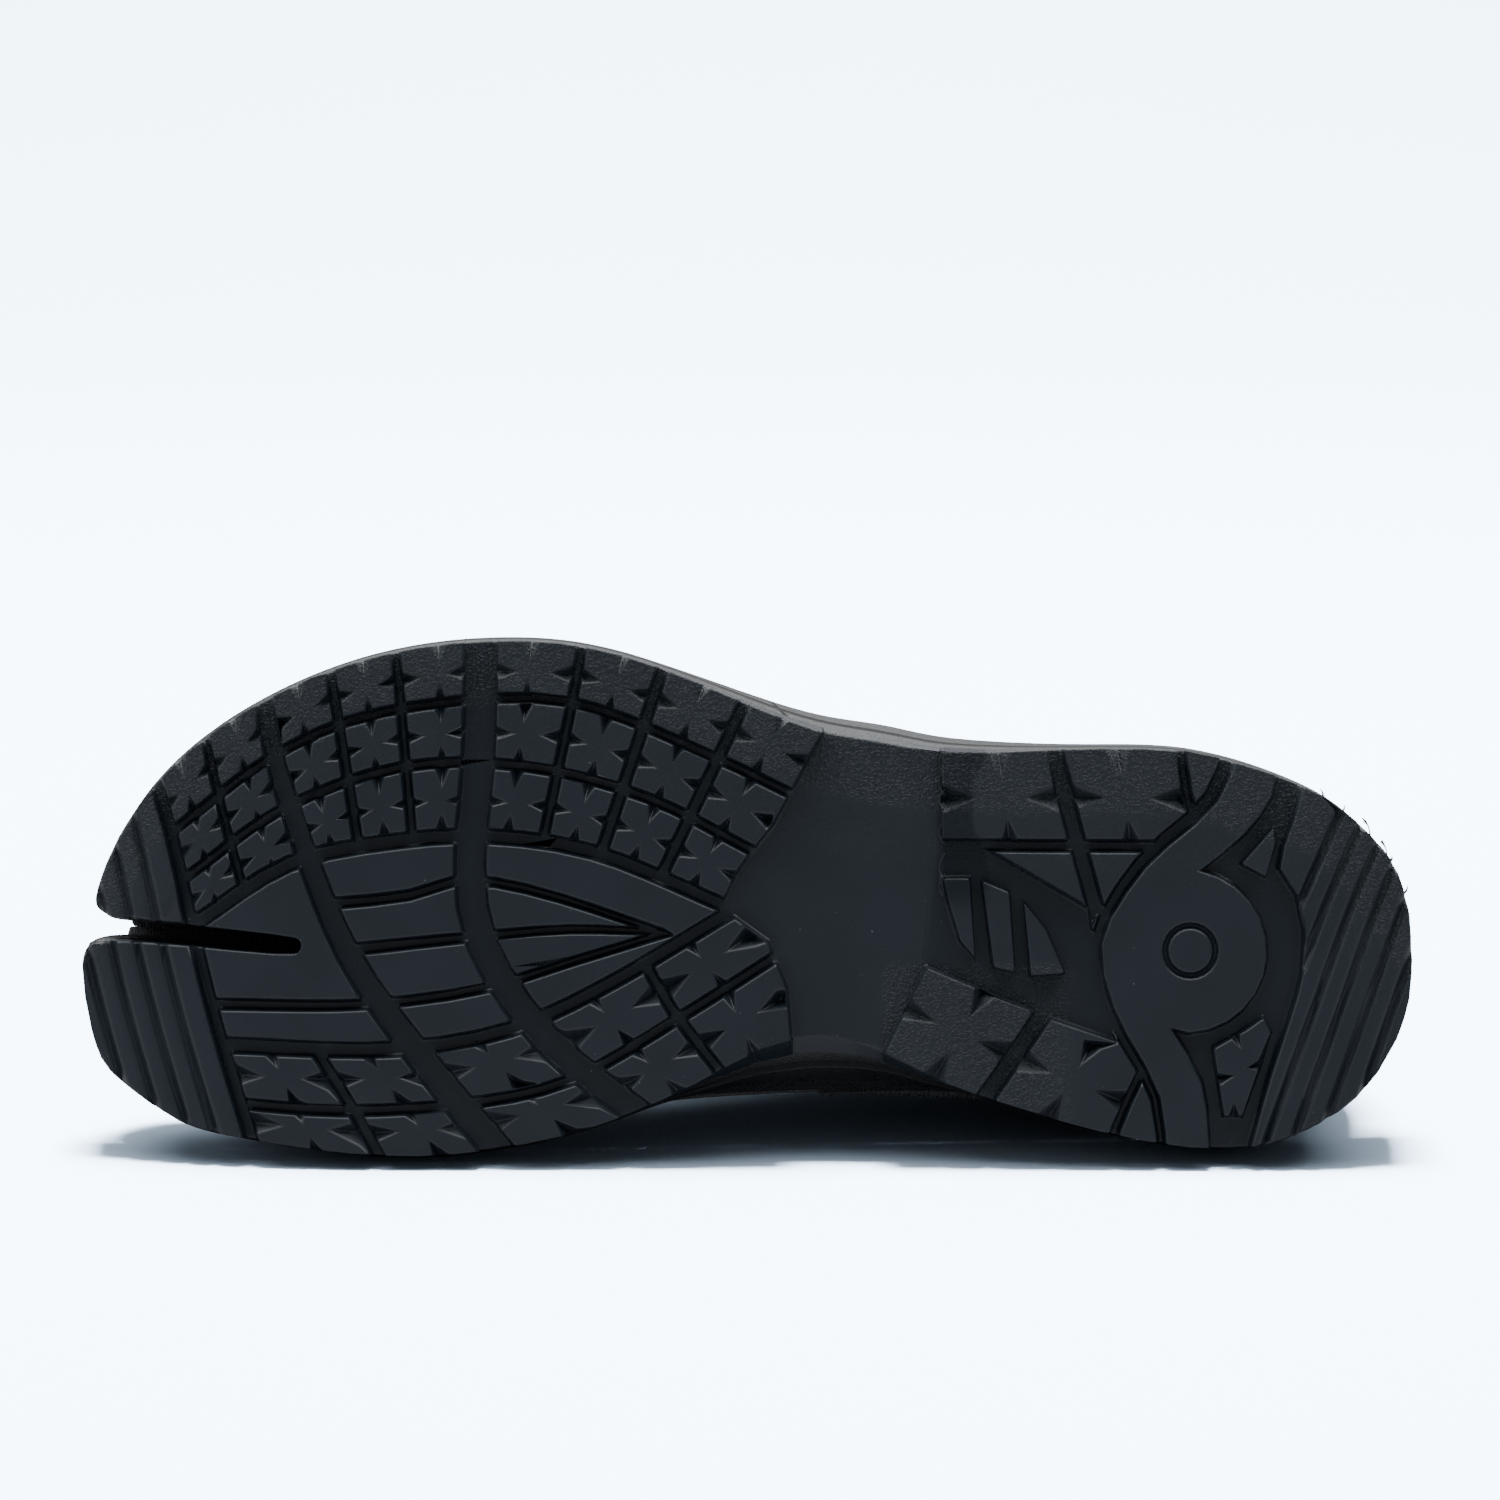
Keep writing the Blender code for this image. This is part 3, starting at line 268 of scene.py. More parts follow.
def above_lands(wire, u, w):
    """Height above the lands of the tread."""
    toe = wire.math("MAXIMUM", 1 - u / TOE_SPRING_START, 0.0)
    heel = wire.math("MAXIMUM", (u - HEEL_BEVEL_START) / (SOLE_LENGTH - HEEL_BEVEL_START), 0.0)
    return w - toe * toe * TOE_SPRING - heel * heel * HEEL_BEVEL


def slanted(v, corner, slope):
    """How far along a straight edge through a corner is, at a place across."""
    return corner[0] + (v - corner[1]) * slope


def on_waist(wire, u, v):
    """1 on the waist plate, between its front edge, which has a point, and its back edge."""
    outer, inner = (slanted(v, WAIST_POINT, slope) for slope in WAIST_POINT_SLOPES)
    lip = slanted(v, WAIST_LIP, WAIST_LIP_SLOPE)
    front = wire.math("MAXIMUM", outer, wire.math("MINIMUM", inner, lip))
    first, second = (slanted(v, WAIST_CORNER, slope) for slope in WAIST_CORNER_SLOPES)
    back = wire.math("MINIMUM", wire.math("MINIMUM", first, second), WAIST_BACK)
    return (u - front).step(0.0, WAIST_BLEND) * (back - u).step(0.0, WAIST_BLEND)


def in_groove(wire, u, v, w):
    """1 on the floors of the grooves."""
    floors = above_lands(wire, u, w).step(*GROOVE_DEPTHS) * facing(wire, up).step(*GROOVE_FACING)
    return floors * (1 - on_waist(wire, u, v))


def dark_patch(u, v, cloud):
    """1 on the dark patch behind the waist, which ends in a cloudy line."""
    run = u - WAIST_BACK + (cloud - 0.5) * PATCH_SWING
    starts = u.step(WAIST_BACK, WAIST_BACK + PATCH_RISE)
    return starts * (1 - run.step(*PATCH_END)) * v.step(*PATCH_SIDE)


print("waist plate from", WAIST_POINT[0], "to", WAIST_BACK, "mm along")

# %% [markdown]
# The lugs at the outer edge of the sole and at the front of the heel have a leathery grain from the mould.
# It could be cut into the mesh, but it is finer than a millimetre, so cells of a Voronoi pattern make it as
# bump. A ramp over the length of the shoe says where the outer edge is, and the grain fades out inside it.

# %% Where the rubber is leathery
LATERAL_EDGE = (
    (0, 10.0),
    (13, 33.2),
    (28, 46.3),
    (40, 53.2),
    (55, 59.3),
    (70, 62.9),
    (85, 64.3),
    (100, 63.8),
    (114, 60.9),
    (128, 55.8),
    (142, 49.8),
    (166, 43.1),
    (196, 41.0),
    (232, 40.9),
    (260, 31.9),
    (280, 4.0),
)
RAMP_REACH = 70.0
# For each outer row of lugs, the distances from the edge between which its grain fades out, and its strength
LEATHER_ROWS = (((11.0, 15.0), 0.75), ((24.0, 29.0), 0.25))
LEATHER_START = (166.0, 170.0)
LEATHER_END = (202.0, 212.0)
LEATHER_SIDE = (-6.0, -2.0)
LEATHER_SCALE = 1.1
LEATHER_WARP = 1.6
LEATHER_CREASE = 0.3


def leather_share(wire, u, v):
    """How leathery the rubber is: on the outer rows of lugs and on the medial lugs of the heel's front."""
    stops = [(run / SOLE_LENGTH, (reach / RAMP_REACH,) * 3) for run, reach in LATERAL_EDGE]
    edge = wire.node("ShaderNodeValToRGB", {"stops": stops}, {"Fac": u / SOLE_LENGTH}, "Color")
    inset = edge * RAMP_REACH - v
    first, second = ((1 - inset.step(*fade)) * strength for fade, strength in LEATHER_ROWS)
    heel_front = u.step(*LEATHER_START) * (1 - u.step(*LEATHER_END)) * (1 - v.step(*LEATHER_SIDE))
    return wire.math("MAXIMUM", first + second, heel_front)


def leather_cells(wire, shoe):
    """Height of the grain from 0 to 1: bent cells with creases between them."""
    warp = noise(wire, shoe, scale=0.7, detail=2.0, out="Color")
    sockets = {0: warp, 1: (LEATHER_WARP,) * 3, 2: shoe}
    bent = wire.node("ShaderNodeVectorMath", {"operation": "MULTIPLY_ADD"}, sockets)
    cells = {"Vector": bent, "Scale": LEATHER_SCALE}
    gap = wire.node("ShaderNodeTexVoronoi", {"feature": "DISTANCE_TO_EDGE"}, cells, "Distance")
    return gap.step(0.0, LEATHER_CREASE)


print("grain on", len(LEATHER_ROWS), "rows of lugs")

# %% [markdown]
# The outsole is pressed from black rubber, which is a little blue in the studio light, and a few specks of
# dust sit on it. The floors of the grooves are painted darker and bluer, as painted shade, and a patch behind
# the waist is darker as well. A thin coat makes the lands and the waist plate shine. It is weaker where the
# rubber is dull.

# %% Rubber
RUBBER_TINTS = ((0.0040, 0.0080, 0.0128), (0.0062, 0.0108, 0.0162))
# Tint of the painted shade on the groove floors, also used for the dark patch behind the waist
SHADE_AND_PATCH_TINT = (0.0012, 0.0042, 0.0082)
SHADE_AND_PATCH_SHARE = 0.85
DUST_TINT = (0.10, 0.115, 0.125)
DUST_RISE = (0.35, 0.6)
# How strongly the groove floors are dulled and painted dark as painted shade
GROOVE_DULL_AND_SHADE = 0.45
COAT = 0.31
COAT_DULL_SHARE = 0.8
RUBBER_ROUGHNESS = 0.40
SKIN_ROUGHNESS = 0.10
LEATHER_ROUGHNESS = 0.06
LEATHER_HEIGHT = 0.16
SKIN_HEIGHT = 0.012
DUST_HEIGHT = 0.03


def make_rubber():
    material, wire, shader, shoe = finish("tread rubber")
    u, v, w = axes(wire, shoe)
    cloud = noise(wire, shoe, scale=0.05, detail=4.0)
    skin = noise(wire, shoe, scale=2.4, detail=3.0)
    leather = leather_share(wire, u, v)
    coarse_dust = specks(wire, shoe, cell=5.0, radius=0.20, share=0.5)
    fine_dust = specks(wire, shoe, cell=1.7, radius=0.12, share=0.06)
    dust = coarse_dust + fine_dust
    # Painted shade: the groove floors are darkened in colour for the shade that falls in them, and the dark
    # patch is added to them
    dull_and_painted_dark = wire.math("MAXIMUM", in_groove(wire, u, v, w) * GROOVE_DULL_AND_SHADE, dark_patch(u, v, cloud))
    colour = mix(wire, cloud.step(*CLOUD_RISE), *RUBBER_TINTS)
    colour = mix(wire, dull_and_painted_dark * SHADE_AND_PATCH_SHARE, colour, SHADE_AND_PATCH_TINT)
    colour = mix(wire, dust * cloud.step(*DUST_RISE), colour, DUST_TINT)
    height = leather_cells(wire, shoe) * leather * LEATHER_HEIGHT + skin * SKIN_HEIGHT + dust * DUST_HEIGHT
    feed(colour, shader, "Base Color")
    feed(RUBBER_ROUGHNESS + skin * SKIN_ROUGHNESS + leather * LEATHER_ROUGHNESS, shader, "Roughness")
    feed((1 - dull_and_painted_dark * COAT_DULL_SHARE) * COAT, shader, "Coat Weight")
    feed(bump_of(wire, height), shader, "Normal")
    set_sockets(shader, {"Specular IOR Level": 0.23, "Coat Roughness": 0.42})
    return material


rubber = make_rubber()
print("rubber", len(rubber.node_tree.nodes), "nodes")

# %% [markdown]
# The solids come as loose triangles. A copy of one is merged, its flat faces are joined again where it has
# some, and modifiers round its edges. The copy then stands for the solid, which stays in the part for
# collision.

# %% Copies of the solids
MERGE_GAP = 0.004 * MM
FLAT_TURN = math.radians(0.2)
SMOOTH_TURN = math.radians(40)


def deselect():
    for thing in bpy.context.selected_objects:
        thing.select_set(False)


def copy_of(node, name, join_flat=False):
    """A merged copy of a solid, with flat neighbours joined again where that is asked."""
    deselect()
    piece = nodes[node].copy()
    piece.data = nodes[node].data.copy()
    piece.name = name
    piece.parent = None
    bpy.context.scene.collection.objects.link(piece)
    piece.matrix_world = Matrix()
    piece.select_set(True)
    bpy.context.view_layer.objects.active = piece
    bpy.ops.object.mode_set(mode="EDIT")
    bpy.ops.mesh.select_all(action="SELECT")
    bpy.ops.mesh.remove_doubles(threshold=MERGE_GAP)
    if join_flat:
        bpy.ops.mesh.dissolve_limited(angle_limit=FLAT_TURN)
    bpy.ops.object.mode_set(mode="OBJECT")
    return piece


def select_edges(sharpness=None):
    """Selects the edges of the active mesh that are at least so sharp, or none of its edges."""
    bpy.ops.object.mode_set(mode="EDIT")
    bpy.ops.mesh.select_mode(type="EDGE")
    bpy.ops.mesh.select_all(action="DESELECT")
    if sharpness is not None:
        bpy.ops.mesh.edges_select_sharp(sharpness=sharpness)
    bpy.ops.object.mode_set(mode="OBJECT")


def apply_all(piece):
    bpy.context.view_layer.objects.active = piece
    for modifier in list(piece.modifiers):
        bpy.ops.object.modifier_apply(modifier=modifier.name)


def set_points(piece, points):
    """Moves the corners of a piece to world points, one row each."""
    piece.data.vertices.foreach_set("co", points.ravel())
    piece.data.update()


def finished(piece, material, node=None):
    """Gives a piece its finish and lets it ride, and show in place of its solid if it is a copy of one."""
    piece.data.materials.clear()
    piece.data.materials.append(material)
    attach(piece, "root")
    if node is not None:
        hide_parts(node)
    print(piece.name, len(piece.data.polygons), "faces")


print("copies merge corners nearer than", MERGE_GAP / MM, "mm")

# %% [markdown]
# A pressed lug has a soft edge of about half a millimetre, which catches the light from above as a thin
# line. The bevel modifier rounds the sharp edges of the tread. The ribs at toe and heel are rounder, so
# they have more weight, and the valleys between them stay sharp. In a narrow corner a bevel would throw
# points far out. A first bevel of almost nothing tells which corner each point belongs to and how each face
# looks. No point of the real bevel goes further from its corner than a limit, and where a face would fold
# over, its points are drawn back. Weighted normals keep the lands flat between the edges.

# %% Outsole
EDGE_TURN = math.radians(28)
EDGE_TRIAL = 0.002 * MM
EDGE_SEGMENTS = 3
RIB_ROUND = 0.72 * MM
LUG_SHARE = 0.64
MITRE_MOST = 1.9
UNFOLD_ROUNDS = 12
UNFOLD_SHARE = 0.7
LEAST_LAND = 0.05 * MM * MM
LEAST_FOLD = 0.004 * MM * MM
LEAST_STRIP = 0.03 * MM * MM
FLAT_WEIGHT = 100
# Where the ribs end or start: along in the middle, and along for each millimetre across
TOE_RIBS_END = (22.5, -0.255)
HEEL_RIBS_START = (254.5, 0.231)
# Heights above the lands between which an edge belongs to a valley
VALLEY = (1.2, 2.0)


def land_rise(u):
    """Height of the lands, which rise at the toes and at the back of the heel."""
    toe = max(0.0, 1 - u / TOE_SPRING_START)
    heel = max(0.0, (u - HEEL_BEVEL_START) / (SOLE_LENGTH - HEEL_BEVEL_START))
    return TOE_SPRING * toe**2 + HEEL_BEVEL * heel**2


def edge_share(point):
    """Share of the bevel at a point: all on the ribs, none in their valleys, and less on the lugs."""
    u, v, w = in_shoe(point)
    in_front = u < TOE_RIBS_END[0] + TOE_RIBS_END[1] * v
    behind = u > HEEL_RIBS_START[0] + HEEL_RIBS_START[1] * v
    if not (in_front or behind):
        return LUG_SHARE
    return 0.0 if VALLEY[0] < w - land_rise(u) < VALLEY[1] else 1.0


def folded_corners(piece, points, facings, is_land):
    """Sets the points of a piece and gives back the corners of each triangle that is folded over."""
    set_points(piece, points)
    piece.data.calc_loop_triangles()
    corners = np.array([triangle.vertices for triangle in piece.data.loop_triangles])
    faces = np.array([triangle.polygon_index for triangle in piece.data.loop_triangles])
    a, b, c = (points[corners[:, i]] for i in range(3))
    fold = -0.5 * np.einsum("ij,ij->i", np.cross(b - a, c - a), facings[faces])
    return corners[(is_land[faces] & (fold > LEAST_FOLD)) | (fold > LEAST_STRIP)]


def unfold(piece, homes, shifts, facings, is_land):
    """Draws the points of folded faces back to their corners, round by round, and counts the folds left."""
    for _ in range(UNFOLD_ROUNDS):
        corners = folded_corners(piece, homes + shifts, facings, is_land)
        shifts[np.unique(corners)] *= UNFOLD_SHARE
    return len(folded_corners(piece, homes + shifts, facings, is_land))


outsole = copy_of("outsole", "tread", join_flat=True)
select_edges(EDGE_TURN)
weights = outsole.data.attributes.new("bevel_weight_edge", "FLOAT", "EDGE")
for edge, weight in zip(outsole.data.edges, weights.data):
    first, second = (outsole.data.vertices[end].co for end in edge.vertices)
    weight.value = edge.select * edge_share((first + second) / 2)
bevel = outsole.modifiers.new("edges", "BEVEL")
bevel.width = EDGE_TRIAL
bevel.segments = EDGE_SEGMENTS
bevel.limit_method = "WEIGHT"
bevel.use_clamp_overlap = False
trial = outsole.evaluated_get(bpy.context.evaluated_depsgraph_get()).data
homes = np.array([corner.co for corner in trial.vertices])
facings = np.array([face.normal for face in trial.polygons])
is_land = np.array([face.area for face in trial.polygons]) > LEAST_LAND
bevel.width = RIB_ROUND
apply_all(outsole)
shifts = np.array([corner.co for corner in outsole.data.vertices]) - homes
most = np.array([MITRE_MOST * RIB_ROUND * (edge_share(Vector(home)) or 1.0) for home in homes])
reach = np.linalg.norm(shifts, axis=1)
shifts *= np.minimum(1, most / np.maximum(reach, EDGE_TRIAL))[:, None]
print("edges rounded,", unfold(outsole, homes, shifts, facings, is_land), "folds left")
bpy.ops.object.shade_smooth_by_angle(angle=SMOOTH_TURN)
shading = outsole.modifiers.new("flat lands", "WEIGHTED_NORMAL")
shading.weight = FLAT_WEIGHT
shading.keep_sharp = True
apply_all(outsole)
finished(outsole, rubber, "outsole")

# %% [markdown]
# Rubber that squeezes out between the halves of a mould leaves flash: whiskers at the corner of the heel,
# torn strands along the step behind the waist, and crumbs on the edge of the waist plate above the arch.
# Each is a short line with a thickness at its points, and a curve with a round profile makes all of them
# one mesh. Whiskers start inside the rubber, torn strands also end there, and crumbs are set on it by a ray
# from below.

# %% Flash
# Root and tip of a whisker, its radius, and how its radius changes from root to tip
WHISKERS = (
    ((260.8, 31.2), (260.2, 33.1), 0.26, (1.0, 0.9, 0.7, 0.5, 0.3)),
    ((264.8, 28.2), (265.6, 29.6), 0.24, (1.0, 0.9, 0.8, 0.6, 0.4)),
    ((270.9, 22.9), (269.2, 26.9), 0.22, (1.0, 0.7, 0.6, 1.3, 0.4)),
    ((274.5, 17.7), (273.4, 22.0), 0.22, (1.0, 0.6, 0.5, 0.8, 1.6)),
    ((274.7, 17.0), (275.8, 18.6), 0.32, (1.0, 1.0, 0.7, 0.9, 0.4)),
    ((278.1, 10.8), (279.2, 12.4), 0.30, (1.0, 0.8, 0.9, 0.6, 0.4)),
)
WHISKER_HEIGHT = 2.2
WHISKER_BEND = 0.12
TORN_STRANDS = ((41.0, 36.0), (37.2, 31.4), (33.0, 28.2), (26.4, 21.2), (19.4, 13.6), (15.0, 9.8))
TORN_POINTS = 7
TORN_ROOT = 0.5
TORN_BELLY = 1.2
TORN_HEIGHT = 0.3
TORN_RADIUS = 0.2
TORN_THIN = 0.6
CRUMBS = 36
CRUMB_START = 136.5
CRUMB_RUN = 28.5
# Crumbs lie along a shallow arc: along and across of its middle, its slope and its curve
CRUMB_MIDDLE = (150.4, -19.2)
CRUMB_SLOPE = 0.089
CRUMB_CURVE = -0.0124
CRUMB_SCATTER = (0.4, 0.3)
CRUMB_REACH = (0.1, 0.3)
CRUMB_RADIUS = (0.1, 0.2)
CRUMB_TIP = 0.06
CRUMB_SEED = 7
RAY_DEPTH = -50.0
STRAND_MERGE = 0.001 * MM


def tubes(name, lines):
    """One mesh of closed round strands. A line is a row of points, each with the strand's radius there."""
    deselect()
    data = bpy.data.curves.new(name, "CURVE")
    data.dimensions = "3D"
    data.bevel_depth = 1.0
    data.bevel_resolution = 1
    data.use_fill_caps = True
    for line in lines:
        spline = data.splines.new("POLY")
        spline.points.add(len(line) - 1)
        for point, (where, radius) in zip(spline.points, line):
            point.co = (*where, 1)
            point.radius = radius * MM
    piece = bpy.data.objects.new(name, data)
    bpy.context.scene.collection.objects.link(piece)
    piece.select_set(True)
    bpy.context.view_layer.objects.active = piece
    bpy.ops.object.convert(target="MESH")
    piece = bpy.context.object
    bpy.ops.object.mode_set(mode="EDIT")
    bpy.ops.mesh.select_all(action="SELECT")
    bpy.ops.mesh.remove_doubles(threshold=STRAND_MERGE)
    bpy.ops.mesh.normals_make_consistent(inside=False)
    bpy.ops.object.mode_set(mode="OBJECT")
    bpy.ops.object.shade_smooth()
    return piece


def whisker(root, tip, radius, shape):
    """A strand from the edge of the sole outwards, bent to one side."""
    run_along = tip[0] - root[0]
    run_across = tip[1] - root[1]
    line = []
    for share, swell in zip(np.linspace(0, 1, len(shape)), shape):
        bend = WHISKER_BEND * math.sin(math.pi * share)
        u = root[0] + run_along * share + run_across * bend
        v = root[1] + run_across * share - run_along * bend
        line.append((place(u, v, land_rise(u) + WHISKER_HEIGHT + share), radius * swell))
    return line


def torn_strand(start, end):
    """A strand along the step behind the waist, from one place across to another."""
    line = []
    for share in np.linspace(0, 1, TORN_POINTS):
        belly = math.sin(math.pi * share)
        u = WAIST_BACK + TORN_ROOT - TORN_BELLY * belly
        where = place(u, start + (end - start) * share, TORN_HEIGHT + belly)
        line.append((where, TORN_RADIUS * (TORN_THIN + (1 - TORN_THIN) * belly)))
    return line


strands = [whisker(*row) for row in WHISKERS] + [torn_strand(*ends) for ends in TORN_STRANDS]
draw = np.random.default_rng(CRUMB_SEED)
bpy.context.view_layer.update()
for share in np.linspace(0, 1, CRUMBS):
    u = CRUMB_START + CRUMB_RUN * share + draw.uniform(-CRUMB_SCATTER[0], CRUMB_SCATTER[0])
    run = u - CRUMB_MIDDLE[0]
    arc = CRUMB_MIDDLE[1] + CRUMB_SLOPE * run + CRUMB_CURVE * run * run
    v = arc + draw.uniform(-CRUMB_SCATTER[1], CRUMB_SCATTER[1])
    hit, where, _, _ = outsole.ray_cast(place(u, v, RAY_DEPTH), up)
    step = along * draw.uniform(*CRUMB_REACH) * MM
    if hit:
        middle = (where, draw.uniform(*CRUMB_RADIUS))
        strands.append([(where - step, CRUMB_TIP), middle, (where + step, CRUMB_TIP)])
finished(tubes("flash", strands), rubber)

# %% [markdown]
# Foam and knit have no flat faces. A copy of their solid has its triangles paired to quads and is
# subdivided, with the edges that stay sharp creased first. Subdivision pulls corners in, so each corner is
# first moved out by as much, within a limit, and the smooth skin stays where the solid was.

# %% Smooth copies
HOLD_ROUNDS = 3
HOLD_SHARE = 0.7
HOLD_MOST = 0.8 * MM
MOST_FOLD = math.radians(60)
MOST_SKEW = math.radians(80)
GRID_INFLUENCE = 2.0
SMOOTH_LEVELS = 2


def shoe_points(piece):
    """Corners of a piece in the shoe's own millimetres, one row each."""
    points = np.empty(len(piece.data.vertices) * 3)
    piece.data.vertices.foreach_get("co", points)
    return (points.reshape(-1, 3) - np.array(shoe_origin)) @ np.array(turn) / MM


def shoe_normals(piece):
    """Normals of a piece's corners in the shoe's own directions, one row each."""
    normals = np.empty(len(piece.data.vertices) * 3)
    piece.data.vertices.foreach_get("normal", normals)
    return normals.reshape(-1, 3) @ np.array(turn)


def move_to(piece, points):
    """Moves the corners of a piece to points in the shoe's own millimetres."""
    set_points(piece, points * MM @ np.array(turn).T + np.array(shoe_origin))


def hold_corners(piece):
    """Moves the corners out before subdivision, so that the smooth skin runs through where they were."""
    mesh = piece.data
    start = [corner.co.copy() for corner in mesh.vertices]
    for _ in range(HOLD_ROUNDS):
        skin = piece.evaluated_get(bpy.context.evaluated_depsgraph_get()).data
        for corner, target, got in zip(mesh.vertices, start, skin.vertices):
            shift = corner.co - target + (target - got.co) * HOLD_SHARE
            shift.length = min(shift.length, HOLD_MOST)
            corner.co = target + shift
        mesh.update()


def rounded(node, name, sharp_turn, stays_sharp):
    """A smooth copy of a solid. The rule says for the two ends of a sharp edge whether it stays sharp."""
    piece = copy_of(node, name)
    bpy.ops.object.mode_set(mode="EDIT")
    bpy.ops.mesh.select_all(action="SELECT")
    bpy.ops.mesh.tris_convert_to_quads(
        face_threshold=MOST_FOLD,
        shape_threshold=MOST_SKEW,
        topology_influence=GRID_INFLUENCE,
    )
    bpy.ops.object.mode_set(mode="OBJECT")
    select_edges(sharp_turn)
    points = shoe_points(piece)
    for edge in piece.data.edges:
        first, second = (points[end] for end in edge.vertices)
        edge.select = bool(edge.select and stays_sharp(first, second))
    bpy.ops.object.mode_set(mode="EDIT")
    bpy.ops.transform.edge_crease(value=1)
    bpy.ops.object.mode_set(mode="OBJECT")
    smooth = piece.modifiers.new("smooth", "SUBSURF")
    smooth.levels = SMOOTH_LEVELS
    smooth.render_levels = SMOOTH_LEVELS
    hold_corners(piece)
    apply_all(piece)
    bpy.ops.object.shade_smooth_by_angle(angle=sharp_turn)
    return piece


print("smooth copies have", SMOOTH_LEVELS, "levels")

# %% [markdown]
# The midsole is moulded foam with a fine pebbled skin and a groove round its side. Only its edges that run
# round the sole stay sharp. Below the groove a fine line of the mould runs round it, and a short seam crosses
# the line on the lateral side in front of the waist. Both are a quarter of a millimetre deep, so they are
# bump, and their dark colour is painted shade for the shade in such fine grooves.

# %% Midsole
FOAM_SHARP = math.radians(22)
LEVEL_SHARE = 0.5
SEAM_START = (144.3, 51.6)
SEAM_TURN = (0.707, -0.707)
SEAM_LENGTH = 6.0
SEAM_FADE = 0.5
SEAM_HALF = (0.12, 0.3)
LINE_HEIGHT = 9.8
LINE_HALF = (0.45, 0.95)
FOAM_TINTS = ((0.0036, 0.0048, 0.0062), (0.0056, 0.0070, 0.0088))
# Tint of the painted shade on the fine line and the seam
SEAM_SHADE_TINT = (0.002, 0.002, 0.003)
FOAM_ROUGHNESS = 0.40
FOAM_SKIN_ROUGHNESS = 0.16
SEAM_ROUGHNESS = 0.4
PEBBLE_SCALE = 2.2
PEBBLE_HEIGHT = 0.18
FOAM_SKIN_HEIGHT = 0.03
SEAM_DEPTH = 0.25


def on_seam(wire, u, v):
    """1 on the short seam of the lateral side."""
    u = u - SEAM_START[0]
    v = v - SEAM_START[1]
    run = u * SEAM_TURN[0] + v * SEAM_TURN[1]
    aside = wire.math("ABSOLUTE", u * SEAM_TURN[1] - v * SEAM_TURN[0])
    started = (1 - aside.step(*SEAM_HALF)) * run.step(0.0, SEAM_FADE)
    return started * (1 - run.step(SEAM_LENGTH - SEAM_FADE, SEAM_LENGTH))


def make_foam():
    material, wire, shader, shoe = finish("midsole foam")
    u, v, w = axes(wire, shoe)
    line = 1 - wire.math("ABSOLUTE", above_lands(wire, u, w) - LINE_HEIGHT).step(*LINE_HALF)
    seam = wire.math("MAXIMUM", on_seam(wire, u, v), line)
    cloud = noise(wire, shoe, scale=0.08, detail=4.0)
    skin = noise(wire, shoe, scale=3.0, detail=3.0)
    cells = {"Vector": shoe, "Scale": PEBBLE_SCALE}
    pebble = wire.node("ShaderNodeTexVoronoi", {"feature": "SMOOTH_F1"}, cells, "Distance")
    colour = mix(wire, cloud.step(*CLOUD_RISE), *FOAM_TINTS)
    # Painted shade: the fine line and the seam are darkened in colour for the shade that would fall in them
    feed(mix(wire, seam, colour, SEAM_SHADE_TINT), shader, "Base Color")
    feed(FOAM_ROUGHNESS + skin * FOAM_SKIN_ROUGHNESS + seam * SEAM_ROUGHNESS, shader, "Roughness")
    height = pebble * PEBBLE_HEIGHT + skin * FOAM_SKIN_HEIGHT - seam * SEAM_DEPTH
    feed(bump_of(wire, height), shader, "Normal")
    set_sockets(shader, {"Specular IOR Level": 0.42})
    return material


def runs_round(first, second):
    """Whether an edge rises little for its length, so that it runs round the sole."""
    return abs(second[2] - first[2]) < LEVEL_SHARE * np.linalg.norm(second - first)


foam = make_foam()
midsole = rounded("midsole", "foam_midsole", FOAM_SHARP, runs_round)
finished(midsole, foam, "midsole")

# %% [markdown]
# The upper is knitted. Its vamp is plain knitting, rows of V-shaped loops of about a millimetre, and its
# quarter has upright ribs. The loops are too small for the mesh, so they are bump on the shoe's own
# directions: on the sides the rows count upwards, on top they count across, and on the toe tips they are
# turned. The colour follows the same height and is darker in the valleys between the loops, as painted shade.
# The fine hair of the yarn is sheen.

# %% Knit
WALE = 1.4
COURSE = 1.0
LOOP_SLANT = 0.6
LEG_HEIGHT = 0.5
ROW_HEIGHT = 0.25
TOP_FACING = (0.4, 0.6)
TIP_FACING = (0.45, 0.65)
KNIT_TINTS = ((0.0045, 0.0052, 0.0062), (0.0165, 0.0185, 0.021))
# Share of the colour given to painted shade in the valleys between loops
LOOP_SHADE_SHARE = 0.7
CLOUD_TINT_SHARE = 0.3
KNIT_ROUGHNESS = 0.78
YARN_ROUGHNESS = 0.15
LOOP_DEPTH = 0.22
YARN_DEPTH = 0.05


def loops(wire, wale, course):
    """Height of plain knitting from 0 to 1, from the place across the wales and along them in millimetres."""
    x = wale / WALE
    slope = wire.math("PINGPONG", x, 0.5) * 2 * LOOP_SLANT
    legs = wire.math("ABSOLUTE", wire.math("SINE", x * (2 * math.pi)))
    rows = wire.math("SINE", (course / COURSE + slope) * (2 * math.pi))
    return legs * LEG_HEIGHT + rows * ROW_HEIGHT + ROW_HEIGHT


def blend(share, first, second):
    return first + (second - first) * share


